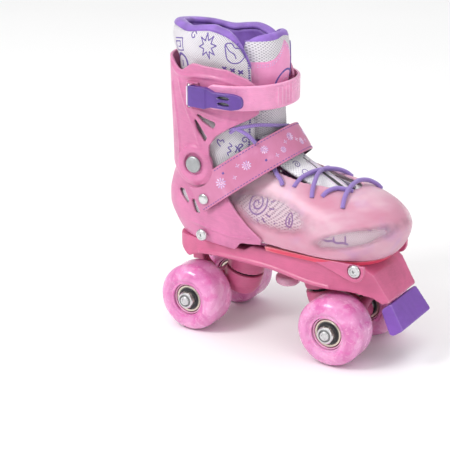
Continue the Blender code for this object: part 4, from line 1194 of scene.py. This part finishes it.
PUFF_FROM, PUFF_REACH = 205, 20


def boot_angle(level, x):
    """The angle at which a level outline reaches X."""
    _, rear, wide, front, _, power = level
    ahead = x > wide
    reach = front - wide if ahead else wide - rear
    c = min(abs(x - wide) / reach, 1) ** ((2.2 if ahead else power) / 2)
    return math.acos(c if ahead else -c)


def boot_angles(z, shares):
    """Angles at shares of the way from the outer front edge round the heel to the inner one."""
    level = at(BOOT, z)
    first = boot_angle(level, pick(BOOT_EDGE, z))
    angles = np.linspace(2 * math.pi - first, first, 200)
    run = lengths_along([ring_point(level, 0, a)[:2] for a in angles])
    return np.interp(np.array(shares) * run[-1], run, angles), run[-1]


def make_boot():
    """The soft boot above the sole: outer face, rolled rim and swollen lining in one closed skin."""
    near = [0, 0.001, 0.003, 0.006, 0.011]
    shares = near + list(np.linspace(0.018, 0.982, 104)) + [1 - s for s in reversed(near)]
    heights = np.arange(79.8, 251, 2)
    table = [boot_angles(z, shares) for z in heights]
    angles = np.array([row for row, _ in table])
    lengths = [length for _, length in table]

    def skin(k, z, grow):
        a = float(np.interp(z, heights, angles[:, k]))
        return Vector(ring_point(at(BOOT, z), grow, a))

    rows, uv = [], []
    for k, share in enumerate(shares):
        top = 235
        for _ in range(6):
            p = skin(k, min(top, BOOT[-1][0]), 0)
            top = 0.5 * top + 0.5 * (pick(BOOT_TOP, p.x) - BOOT_LEAN * p.y)
        edge = min(share, 1 - share) * BOOT_GIRTH
        round_off = math.sqrt(max(0, 1 - (1 - min(edge / EDGE_ROUND, 1)) ** 2))
        wall = BOOT_WALL * round_off
        middle = -BOOT_WALL / 2
        seam = top - RIM - 1.2
        row, marks = [], []

        def place(z, out):
            p = skin(k, z, 0)
            soft = noise.noise(p * 0.045) * 0.9 + noise.noise(p * 0.12) * 0.35
            lift = min(1, max(0, (z - PUFF_FROM) / PUFF_REACH))
            deep = min(1, edge / EDGE_FADE)
            if out < middle - 0.01:  # the lining swells and folds
                out -= PUFF * lift * deep * min(1, (middle - out) / (wall / 2 + 0.01))
                soft = noise.noise(Vector((p.x * 0.10, p.y * 0.10, p.z * 0.05))) * 1.5 * lift
            row.append(tuple(skin(k, z, out + soft * (0.25 + 0.75 * lift) * deep * round_off)))
            marks.append((share * float(np.interp(z, heights, lengths)), z))

        for i in range(BOOT_ROWS + 1):
            z = BOOT_FOOT + (seam - BOOT_FOOT) * i / BOOT_ROWS
            swell = min(1, max(0, (z - PAD_FROM) / (seam - PAD_FROM))) if seam > PAD_FROM else 0
            pad = 0.9 * math.sin(math.pi * swell)
            place(z, middle + wall / 2 + pad * round_off)
        place(seam + 0.3, middle + (wall / 2 - 0.55) * round_off)  # the sewn groove under the rim
        for i in range(RIM_STEPS + 1):
            turn = math.pi * i / RIM_STEPS
            bulge = (wall / 2 + 0.6 * round_off) * math.cos(turn)
            place(seam + 1 + (RIM + 0.2) * math.sin(turn) + 0.2 * math.cos(turn), middle + bulge)
        place(seam + 0.3, middle - (wall / 2 - 0.55) * round_off)
        for i in range(BOOT_ROWS, -1, -1):
            place(BOOT_FOOT + (seam - BOOT_FOOT) * i / BOOT_ROWS, middle - wall / 2)
        rows.append(row)
        uv.append(marks)
    loop = len(rows[0])
    kinds = [0 if j < BOOT_ROWS + 1 else 1 for j in range(loop)]
    kinds[-1] = 1
    boot = grid("boot_ankle", rows, closed=True, caps=False, uv=lambda i, k: uv[i][k % loop],
                mats=[mesh_mat, lining_mat], face_mats=kinds * (len(rows) - 1))
    return welded(boot)


boot = make_boot()
boot_tree = tree_of(boot)
show(boot, turn_with_cuff, "liner", "collar", slot="white_mesh", fill=0.7)

SQUARE_SPIRAL = [(-5, 3.6), (4.6, 5.2), (5.2, -4.2), (-2.6, -5.6), (-4.2, 1.2), (1.6, 2.4), (2.2, -1.8),
                 (-1, -2.2)]
LEAF = [(-5, 6), (-1, 6.8), (1.8, 3.6), (6.6, 2.6), (8, -2), (5, -7), (0, -8), (-3.6, -5), (-4.4, 0.5)]
CURL = [(2.6, 1), (1.2, 2.6), (-1.2, 2.2), (-2.2, 0), (-0.8, -2), (1.2, -1.2), (0.6, 0.4)]
HEART = [(0, -3), (-2.8, 0), (-2.2, 2.4), (-0.2, 1.2), (1.8, 2.6), (2.8, 0.4)]
SQUIGGLE = [(-1, 5), (1.4, 3.2), (-1.2, 1.2), (1.6, -0.8), (-0.8, -3), (0.6, -5)]
CROSS = [(-3, 3), (0, 0), (3, -3.4), (1.2, -3.2), (0, 0), (3, 3.6), (0.4, 4.2), (-2.6, -2.8)]
for side, hand in HANDS:
    put = from_side(boot_tree, side)
    drop = 0 if side < 0 else -8
    drawings = [
        (sharp_line(placed(SQUARE_SPIRAL, (-78, 230 + drop)), False), 0.9),
        (sharp_line(placed(star(8, 7.6, 3.6, 1.25), (-48, 232.5 + drop), lean=8)), 0.9, True),
        (placed(LEAF, (-28.5, 229 + drop)), 0.9, True),
        (placed([(-5, 6), (-2, 1.5), (1.5, -1), (2.6, -4.4)], (-28.5, 229 + drop)), 0.8),
        ([(-83, 213 + drop), (-81.5, 219 + drop), (-76.5, 222.5 + drop), (-71.5, 219.5 + drop),
          (-69, 212 + drop)], 2.2),
        ([(-76.5, 217 + drop), (-76, 212.5 + drop)], 1.5),
        (placed(CURL, (-62, 239 + drop)), 0.9),
        (placed(HEART, (-38, 158.5)), 0.9),
        (placed(SQUIGGLE, (-31, 154), lean=-10), 0.9),
        (placed(CROSS, (-24, 154.5), 0.9), 0.9),
        (placed(CURL, (-20, 162), 0.8), 0.8),
    ]
    for x, z in ((-35, 216.4), (-29, 215.4), (-23.5, 214.2)):
        drawings.append((placed([(-1.6, 1.4), (1.5, -1.3)], (x, z + drop)), 1.3))
        drawings.append((placed([(1.5, 1.5), (-1.4, -1.5)], (x, z + drop)), 1.3))
    show(prints("boot_drawings_" + hand, put, drawings, ink_mat), turn_with_cuff, slot="purple_lining")
    # Overlocked purple edge down the front of the boot
    line, normals = [], []
    for z in np.arange(150, 238, 1):
        x = pick([(v, u) for u, v in reversed(BOOT_TOP)], z + side * BOOT_LEAN * 26)
        x = min(pick(BOOT_EDGE, z), x) - 1.4
        found = put(x, z)
        if found:
            line.append(found[0])
            normals.append(found[1])
    binding = merge("boot_edge_stitch_" + hand,
                    [dashes("d", [(line, normals)], ink_mat, 1.2, 1.9, 1.5, 0.35)])
    show(binding, turn_with_cuff, slot="purple_lining")

# ---- tongue and insole
def pad_point(level, t, back, sag_power):
    """A point of a tongue: level as in TONGUE, t across from -1 to 1, back 0 in front and 1 behind."""
    _, x, z, slope, half, sag, thick = level
    out = Vector((math.sin(math.radians(slope)), 0, math.cos(math.radians(slope))))
    depth = sag * abs(t) ** sag_power + back * thick * math.sqrt(max(0, 1 - t**6))
    return Vector((x, half * t, z)) - out * depth


PANEL_SHARE = 0.6  # share of a tongue's rows that lie below seam_at
TONGUE_ENDS = 7  # rows that round off each end
LEVEL_MM = 12  # length of one level along the cloth


def make_tongue(name, levels, sag_power, seam_at, mats, kind_of, rows=60, columns=44, soft=0.4):
    """A padded tongue. seam_at(y) gives the level at which the lower panel ends at that width."""
    last = levels[-1][0]
    grid_rows, kinds, uv = [], [], []
    for i in range(-TONGUE_ENDS, rows + TONGUE_ENDS + 1):
        row, marks = [], []
        for face in (0, 1):
            across = range(columns + 1) if face == 0 else range(columns, -1, -1)
            for k in across:
                t = math.sin(math.pi / 2 * (2 * k / columns - 1)) * 0.5 + (2 * k / columns - 1) * 0.5
                split = seam_at(t)
                share = min(max(i / rows, 0), 1)
                if share <= PANEL_SHARE:
                    u = split * share / PANEL_SHARE
                else:
                    u = split + (last - split) * (share - PANEL_SHARE) / (1 - PANEL_SHARE)
                level = at(levels, u)
                beyond = -i if i < 0 else max(i - rows, 0)
                turn = math.pi / 2 * beyond / TONGUE_ENDS
                thick = level[6]
                thin = thick * (1 - math.cos(turn)) / 2
                front = pad_point(level, t, 0, sag_power)
                rear = pad_point(level, t, 1, sag_power)
                run = (pad_point(at(levels, min(u + 0.02, last)), t, 0, sag_power)
                       - pad_point(at(levels, max(u - 0.02, levels[0][0])), t, 0, sag_power)).normalized()
                inward = rear - front
                deep = inward.length
                inward = inward.normalized() if deep > 1e-6 else Vector((0, 0, 0))
                p = front if face == 0 else rear
                p = p + inward * (thin if face == 0 else -thin) * (deep / max(thick, 1e-6))
                p += run * (deep / 2 * math.sin(turn)) * (-1 if i < 0 else 1)
                lump = soft * (noise.noise(front * 0.06) * 1.6 + noise.noise(front * 0.16) * 0.5)
                if face == 0:
                    p -= inward * lump * math.cos(turn)
                row.append(tuple(p))
                marks.append((level[4] * t, u * LEVEL_MM))
        grid_rows.append(row)
        uv.append(marks)
    loop = len(grid_rows[0])
    for i in range(len(grid_rows) - 1):
        for j in range(loop):
            kinds.append(kind_of((i - TONGUE_ENDS) / rows, j <= columns - 1))
    obj = grid(name, grid_rows, closed=True, caps=False, uv=lambda i, k: uv[i][k % loop], mats=mats,
               face_mats=kinds)
    return welded(obj, 0.01)


TONGUE = [  # level, X, Z, slope, half width, set-back of the edges, thickness
    (0, -7.5, 163, 80, 19, 13, 4), (1, -6, 172, 86, 21, 17, 5), (2.2, -5.6, 187, 90, 22, 20, 5.5),
    (3.4, -4, 202, 90, 23, 21, 6), (4.6, -2.4, 217, 90, 23.5, 22, 6.5), (5.6, -3, 230, 90, 23.5, 22, 7),
    (6.1, -4.2, 237, 88, 22.5, 20, 7), (6.3, -5, 239.5, 80, 22, 19, 6),
]
LEATHER_FROM, LINING_FROM = 0.26, 0.93  # shares of the tongue's rows
PANEL_TOP = [(0, 6), (4, 5.75), (8, 5.3), (12, 5), (16, 4.85), (24, 4.8)]  # half width, level
tongue = make_tongue("tongue_padded", TONGUE, 3, lambda t: pick(PANEL_TOP, abs(23.5 * t)),
                     [tongue_leather, mesh_mat, lining_mat],
                     lambda share, front: (2 if not front or share > LINING_FROM
                                           else 0 if LEATHER_FROM < share <= PANEL_SHARE else 1))
tongue_tree = tree_of(tongue)
show(tongue, turn_with_cuff, "tongue_upper", slot="white_mesh", fill=0.75)
on_tongue = from_front(tongue_tree)


def tongue_run(drop):
    """A line across the tongue, drop below the leather panel's top."""
    return lay([(y, at(TONGUE, pick(PANEL_TOP, abs(y)))[2] - drop) for y in range(-20, 21, 2)],
               on_tongue, 2)


arc = [(2 + 12 * math.cos(a), 200.5 + 12.5 * math.sin(a)) for a in np.linspace(-0.1, math.pi + 0.1, 16)]
inner_arc = [(2 + 7 * math.cos(a), 199.5 + 7.5 * math.sin(a)) for a in np.linspace(0.2, math.pi - 0.2, 12)]
trim = [ribbon(*lay(arc, on_tongue, 3), 1.5, ink_mat, 0.35),
        ribbon(*lay([(10.6, z) for z in (206, 212, 218, 224, 229, 233)], on_tongue, 4), 1.6, ink_mat, 0.7)]
show(merge("tongue_piping", trim), turn_with_cuff, slot="purple_lining")
seams = dashes("tongue_stitches", [tongue_run(1.4), tongue_run(3), lay(inner_arc, on_tongue, 3)],
               silver_print, 1, 1.9, 0.5, 0.2)
show(seams, turn_with_cuff, slot="strap_pink")

FORE_TONGUE = [
    (0, 55, 124.2, 28, 8, 1, 3), (1, 44, 129.4, 28, 13, 2, 4), (2.6, 25, 138.4, 27, 16.5, 3.8, 4.6),
    (4, 9, 147.4, 38, 18, 5.5, 4.8), (5, -1, 156.5, 58, 18, 7, 4.8), (5.6, -5.2, 163, 72, 18, 8, 4.6),
]
fore = make_tongue("tongue_fore", FORE_TONGUE, 2.2, lambda t: 3.4, [fore_mat],
                   lambda share, front: 0, 46, 30, 0.3)
fore_tree = tree_of(fore)


show(fore, slide_with_toe, "tongue_lower", slot="white_mesh", fill=0.6)
on_fore = from_top(fore_tree)
# The two near-black ribbons are painted shadow in the gap between the fore tongue and the liner; pale
# strips run along their sides.
gap_shade_and_pale_strips = [ribbon(*lay([(12, 4), (22, 3.7), (31, 3.3)], on_fore, 6), 1.8, seal_mat, 0.12),
        ribbon(*lay([(26, 3.4), (38, 2.4), (51, 1.2)], on_fore, 6), 5.2, seal_mat, 0.14)]
for shift, width in ((-3.1, 1), (5.4, 4)):
    gap_shade_and_pale_strips.append(ribbon(*lay([(16, 3.7 + shift * 0.6), (28, 3.3 + shift * 0.9), (38, 2.4 + shift),
                             (47, 1.4 + shift),
                             (53, 0.9 + shift * 0.7)], on_fore, 6), width, pale_mat, 0.7))
show(merge("tongue_gap_shade_and_pale_strips", gap_shade_and_pale_strips), slide_with_toe, slot="purple_lining")
fore_marks = [(placed(spiral(1.6, 0.4, 3.2, 10), (14, -9)), 0.55),
              (placed(CURL, (22, -10.5)), 0.55), (placed(SQUIGGLE, (6, -8), 0.7, 70), 0.55),
              (placed(CURL, (18, 9), 1.1), 0.55), (placed(SQUIGGLE, (8, 8), 0.7, 100), 0.55)]
show(prints("tongue_drawings", on_fore, fore_marks, ink_mat), slide_with_toe, slot="purple_lining")

bed = loft("insole_padded", [(79.7, -81, 45, 85.6, 31, 3), (80.6, -82, 45, 86.4, 31.7, 3),
                             (85.6, -83.8, 45, 87.8, 32, 3), (86.6, -83.2, 45, 87.2, 31.4, 3),
                             (87, -82.2, 45, 86.2, 30.4, 3)], 0, 96, 0.6, mat=footbed_mat)
cut(bed, tool(prism, [(4, 84.1), (100, 84.1), (100, 95), (-3, 95)], -50, 50))
show(settle(bed), CHASSIS, "insole", slot="purple_lining", fill=0.8)

# ---- toe drawings, seen through the clear cap
sock_tree = tree_of(sock)
for side, hand in HANDS:
    put = from_side(sock_tree, side)
    drawings = [(placed(spiral(2.3, 0.9, 9.6), (-6.5, 114.8), mirror=-side), 1.4)]
    for angle in (-75, -52, -30, -8, 14):
        a = math.radians(angle)
        drawings.append(([(-6.5 + 11.5 * math.cos(a), 114.8 + 11.5 * math.sin(a)),
                          (-6.5 + 13.5 * math.cos(a), 114.8 + 13.5 * math.sin(a)),
                          (-6.5 + 16 * math.cos(a + 0.05), 114.8 + 16 * math.sin(a + 0.05))], 1.25))
    drawings += [
        ([(23.5, 113), (21.8, 109), (22.4, 104.5), (25.6, 103.2), (27.2, 107), (25.4, 112)], 1.25, True),
        ([(24.4, 110), (24.6, 105)], 1.7),
        ([(12, 104), (12.8, 103.4)], 1.7),
        (placed(CURL, (57, 103), 0.8), 1.25),
        ([(53, 99.6), (57, 98.4), (61, 99.2), (65, 97.8), (69, 98.6), (73, 97.6)], 1.7),
        ([(62, 102.5), (63.2, 98.6), (66.4, 98.4)], 1.25),
        ([(70.6, 104), (71, 98.8)], 1.25),
        ([(84, 109.4), (86.6, 108.2)], 1.3),
        ([(91.6, 109), (93.2, 110.6), (95, 108)], 1.35),
        (placed(CURL, (38, 120), 1.2), 1.1), (placed(HEART, (50, 115), 1), 1.25),
        (placed(SQUIGGLE, (78, 114), 0.8, 60), 1.1),
    ]
    show(prints("toe_drawings_" + hand, put, drawings, ink_mat), slide_with_toe, slot="purple_lining")

# ---- instep strap
STRAP_ROOT = Vector((-35, 0, 128))
STRAP_RISE = Vector((0.8, 0, 0.6))
STRAP_DOWN = Vector((0.6, 0, -0.8))
STRAP_SPAN, STRAP_CREST, STRAP_TAIL = 43.1, 53.5, 24.5
STRAP_STITCHES = (-10.3, 10.3)  # across the strap
STRAP_ROWS = 150
ARCH_R = 50  # rough radius of the arch, for drawings
LOBE_R = 18.2  # the strap is cut round the cuff's lobe at the ankle


def strap_course(count):
    """Even (Y, rise) points along the strap, from the outer tail over the instep to the inner one."""
    raw = [(-STRAP_SPAN, -STRAP_TAIL * (1 - k / 20)) for k in range(20)]
    raw += [(-STRAP_SPAN * math.cos(math.pi * k / 120), STRAP_CREST * math.sin(math.pi * k / 120))
            for k in range(121)]
    raw += [(STRAP_SPAN, -STRAP_TAIL * (k + 1) / 20) for k in range(20)]
    even, length = evenly(raw, count)
    return [Vector(p) for p in even], length


def strap_out(course):
    """The outward (Y, rise) direction of the strap's arch."""
    return Vector((course.x / STRAP_SPAN**2, max(course.y, 0) / STRAP_CREST**2)).normalized()


def strap_point(course, s, depth):
    """A point of the strap: course is (Y, rise), s runs across its width and depth outwards."""
    out = strap_out(course)
    y, rise = course.x + out.x * depth, course.y + out.y * depth
    return STRAP_ROOT + STRAP_RISE * rise + STRAP_DOWN * s + Vector((0, y, 0))


def make_instep_strap():
    """A leather band over the instep, cut round the cuff's pivot lobe."""
    course, length = strap_course(STRAP_ROWS)
    face = [(-12, 0.9), (-12, 1.5), (-11.7, 2), (-11, 2.15), (-9.7, 1.95), (-7, 2.2), (-3.5, 2.3),
            (0, 2.32), (3.5, 2.3), (7, 2.2), (9.7, 1.95), (11, 2.15), (11.7, 2), (12, 1.5), (12, 0.9)]
    loop = face + [(12, 0.1), (-12, 0.1)]
    girth = lengths_along(loop + loop[:1])
    rows = [[tuple(strap_point(p, s, d)) for s, d in loop] for p in course]
    kinds = [0] * (len(face) - 1) + [1] * 3
    strap = grid("instep_strap_leather", rows, closed=True, mats=[leather_mat, backing_mat],
                 uv=lambda i, k: (girth[k], length * i / (STRAP_ROWS - 1)),
                 face_mats=kinds * (len(rows) - 1) + [1, 1])
    cut(strap, rod(LOBE_R, -THROUGH, THROUGH, 64, ANKLE, ACROSS))
    return settle(strap)


show(make_instep_strap(), CHASSIS, "instep_strap", slot="strap_pink")

runs = []
fine_course, _ = strap_course(400)
for s in STRAP_STITCHES:
    points = [strap_point(p, s, 2.02) for p in fine_course]
    normals = [Vector((0, strap_out(p).x, 0)) + STRAP_RISE * strap_out(p).y for p in fine_course]
    kept = [(p, n) for p, n in zip(points, normals)
            if math.dist((p.x, p.z), (ANKLE[0], ANKLE[2])) > LOBE_R + 1.3]
    runs.append(([p for p, _ in kept], [n for _, n in kept]))
show(dashes("instep_strap_stitches", runs, ink_mat, 1.5, 2.7, 0.6, 0.22), CHASSIS, slot="purple_lining")


def on_strap(turn):
    """Lays (across, along) points, in millimetres, round a spot of the strap turn degrees up its arch."""
    def put(u, v):
        a = math.radians(turn) + v / ARCH_R
        p = Vector((-STRAP_SPAN * math.cos(a), STRAP_CREST * math.sin(a)))
        out = strap_out(p)
        return strap_point(p, u, 2.26), Vector((0, out.x, 0)) + STRAP_RISE * out.y
    return put


def petals(count, inner, outer, lean=0):
    """Short strokes round a centre."""
    angles = [2 * math.pi * k / count + lean for k in range(count)]
    return [[(r * math.cos(a), r * math.sin(a)) for r in (inner, outer)] for a in angles]


strap_prints, strap_inks = [], []
for turn, across, size in ((3.7, 0.6, 1), (30.7, -0.6, 0.85), (50.4, -4, 0.75), (66, 3, 0.6),
                           (80, -3.5, 0.8), (92, 3.5, 0.7), (110, -2, 0.8), (130, 2, 0.9), (150, -2, 0.9),
                           (174, 0.6, 1)):
    put = on_strap(turn)
    for petal in petals(10, 1.9 * size, 4.2 * size, 0.2):
        line = [(u + across, v) for u, v in petal]
        strap_prints.append(ribbon(*lay(line, put, 2), 0.95 * size, silver_print, 0.12))
    ring = [(across + u, v) for u, v in spiral(1, 1.1 * size, 1.1 * size, 10)[:-1]]
    strap_prints.append(ribbon(*lay(ring, put, 2, True), 0.7 * size, silver_print, 0.12))
for turn, across in ((17, 2.5), (24, -4), (58, 4.5), (72, -1.5), (86, 0.5), (100, 4), (120, -4),
                     (142, 4), (163, -3)):
    put = on_strap(turn)
    for petal in petals(4, 0.3, 1.7):
        line = [(u + across, v) for u, v in petal]
        strap_prints.append(ribbon(*lay(line, put, 2), 0.5, silver_print, 0.12))
for turn, across in ((47, 3.5), (10, -5)):
    line = [(across - 0.8, 0), (across + 0.8, 0.2)]
    strap_inks.append(ribbon(*lay(line, on_strap(turn), 3), 1.8, ink_mat, 0.12))
show(merge("instep_strap_daisies", strap_prints), CHASSIS, slot="strap_pink")
show(merge("instep_strap_dots", strap_inks), CHASSIS, slot="purple_lining")

# ---- cuff strap and buckle
STRAP_Z = 196
RIDGES = (-16, -12.2, -8.4, -4.6, -0.8)  # Y of the ridges on the strap's front
RIDGE_HIGH, RIDGE_HALF = 1.1, 0.7


def make_cuff_strap():
    """The moulded strap round the cuff's front, with ridges across it and thinned ends."""
    level = at(LEG, 190)
    angles = np.radians(np.linspace(-88, 100, 300))
    even, length = evenly([ring_point(level, 6.8, a)[:2] for a in angles], 400)
    path = [Vector((*p, STRAP_Z)) for p in even]
    ups = []
    for i, p in enumerate(path):
        ahead = path[min(i + 1, len(path) - 1)] - path[max(i - 1, 0)]
        ups.append(Vector((ahead.y, -ahead.x, 0)).normalized())
    if (path[len(path) // 2] - Vector((-46, 0, STRAP_Z))).dot(ups[len(path) // 2]) < 0:
        ups = [-u for u in ups]

    def section(t):
        p = path[round(t * (len(path) - 1))]
        near = 1 if p.x > -20 else 0
        bump = near * sum(RIDGE_HIGH * math.exp(-(((p.y - y) / RIDGE_HALF) ** 4)) for y in RIDGES)
        end = min(t, 1 - t) * length
        high = 9.5 - 2.5 * max(0, 1 - end / 5) ** 2
        top = 2.3
        side = [(high, 0.1), (high, 1.2), (high - 0.25, 1.9), (high - 0.9, 2.25), (high - 1.6, top),
                (high - 2.1, top), (high - 2.7, top + bump)]
        return side + [(0, top + bump)] + [(-a, b) for a, b in reversed(side)]

    return sweep("cuff_strap_moulding", path, section, ups, mat=strap_mat)


cuff_strap = make_cuff_strap()
show(settle(cuff_strap, sharp=60), CUFF_BODY, "cuff_strap", slot="shell_pink")
show(lathe("cuff_strap_stud", [(0, 45.7), (4.6, 45.7), (5, 46), (4.9, 46.5), (3.9, 47.2), (2.2, 47.4),
                               (0, 47.45)], 44, (-46, 0, 196), ACROSS, mat=rivet_mat), CUFF_BODY,
     "cuff_strap_rivet", slot="steel")

PIN = (-58.5, -47.3, 195.5)
BASE_PLAN = rounded([(-64, -42.9, 0), (-53, -42.9, 0), (-53, -44.6, 0), (-55.4, -44.8, 0.8),
                     (-56, -48.6, 1.4),
                     (-60.6, -48.6, 2), (-62, -45, 1.5), (-64, -44, 1)])
base = prism("buckle_bracket", BASE_PLAN, 185.8, 205.2, "Z", mat=shell_mat)
cut(base, tool(box, (-62.2, -60, 187.3), (-40, -44.3, 203.7)),
    rod(1.7, -9.3, 9.3, 24, PIN, UPRIGHT))
show(settle(base, 0.3, 3), CUFF_BODY, "buckle_base", slot="shell_pink")
show(lathe("buckle_hinge_pin", [(0, -9), (1, -9), (1.4, -8.7), (1.4, 8.7), (1, 9), (0, 9)], 28, PIN,
           (0, 0, 1), mat=steel_mat), CUFF_BODY, "buckle_pin", slot="steel")

LEVER_SIDE = rounded([
    (-60, 187.6, 1.5), (-43.5, 187.5, 3), (-38, 189.2, 5), (-20, 189.2, 7), (-11.2, 191.2, 8),
    (-11.2, 200, 8), (-20, 201.4, 7), (-36, 200.8, 5), (-43, 203.4, 3), (-60, 203.4, 1.5)])
LEVER_PLAN = rounded([
    (-59.6, -45.6, 1.6), (-54, -45.9, 0), (-8, -45.9, 0), (-8, -48.4, 3), (-22, -50.3, 8),
    (-34, -50.4, 4), (-41.5, -50.2, 1), (-43, -51, 1), (-55, -50.2, 3), (-59.6, -49.4, 2.2)])
lever = prism("buckle_lever_body", LEVER_SIDE, -60, -40, mat=purple_mat)
keep(lever, tool(prism, LEVER_PLAN, 180, 210, "Z"))
cut(lever, rod(1.7, -12, 12, 24, PIN, UPRIGHT))
dish = rod(22, -THROUGH, THROUGH, 64, (-26.5, -71.3, 195.6), UPRIGHT)
dish_end = rod(9.2, -THROUGH, THROUGH, 48, (-26.5, 0, 195.6), ACROSS)
cut(lever, keep(dish, dish_end, tool(box, (-45, -60, 191.2), (-12, -40, 200))))
settle(lever, 0.35, 3)
for z in (193, 197.6):
    slot = [(-27 + 5.4 * u, z + 1.45 * v) for u, v in circle(1, 24)]
    cut(lever, tool(prism, slot, -60, -47.4))
# Near-black discs at the slots' bottoms are painted shade in the slots.
slot_shade_discs = [prism("f", [(-27 + 5.2 * u, z + 1.3 * v) for u, v in circle(1, 20)],
                     -47.7, -47.45, mat=seal_mat) for z in (193, 197.6)]
show(settle(lever), "lever", "buckle_lever", slot="purple_plastic")
show(merge("lever_slot_shade_discs", slot_shade_discs), "lever", slot="purple_plastic")
edge_strip = prism("buckle_edge_strip", rounded([(-60.6, 188.4, 0.5), (-59.3, 188, 0.3), (-59.3, 203, 0.3),
                                                 (-60.6, 202.6, 0.5)]), -49.1, -46.4, mat=pale_mat)
show(settle(edge_strip, 0.25, 3), "lever", slot="shell_pink")

# ---- laces
LACES = (
    [(13, -29.2, 131.5), (11, -28.2, 135), (6, -26, 138.6), (1, -22.5, 143)],
    [(39, -30.2, 126.5), (37.4, -26.4, 131.6), (34.5, -16, 137.2), (31.5, -5, 138.8), (29.8, 6, 138),
     (28, 16, 136), (27, 24, 132)],
    [(22, -27.5, 131), (23, -19, 135.8), (27, -8, 138.8), (31.5, 4, 138.8), (36.5, 12.5, 137.4),
     (42, 18, 134.6),
     (46, 21.5, 130.5)],
    [(46, -27.2, 127.6), (48.6, -23.4, 131.4), (53, -17.6, 133), (59.5, -14, 132.2), (63.6, -11.6, 130.8)],
    [(64.4, -29.4, 122.6), (62.8, -23.5, 128.8), (61.4, -13, 133.4), (61.5, 0, 135.4), (65, 9.5, 134.2),
     (69.5, 16, 130.2), (72, 19.6, 126)],
)
laces = [sweep("l", smooth_line(line, 10), circle(1.75, 14), mat=lace_mat) for line in LACES]
show(merge("laces_toe", laces), TOE_BODY, "lace_toe", slot="lace_purple")
UPPER_LACES = (
    [(-29, -36, 168), (-24, -36.2, 171.5), (-17, -34.6, 173.8), (-10, -29, 175), (-5.6, -20, 173.6),
     (-4.2, -10, 171.2), (-4, 2, 168.4), (-5, 10, 166.5)],
    [(-29, -36.4, 171), (-24, -36.8, 171.8), (-17, -36.2, 169.8), (-12, -34.8, 166.4), (-9, -32.6, 162)],
)
upper = [sweep("l", smooth_line(line, 10), circle(1.9, 14, 0.75), mat=lace_mat) for line in UPPER_LACES]
show(merge("laces_top", upper), turn_with_cuff, "lace_top", slot="lace_purple")

# ---- floor and finish
for cutter in list(cutters.objects):
    bpy.data.objects.remove(cutter, do_unlink=True)
bpy.data.collections.remove(cutters)

FLOOR = (-6000, 6000)
floor_mat = mottled("floor", 0.7, 0.002, 2, (0.94, 0.94, 0.94), (0.96, 0.96, 0.96))
floor = grid("studio_floor", [[(x, y, -0.3) for y in FLOOR] for x in FLOOR], mat=floor_mat)
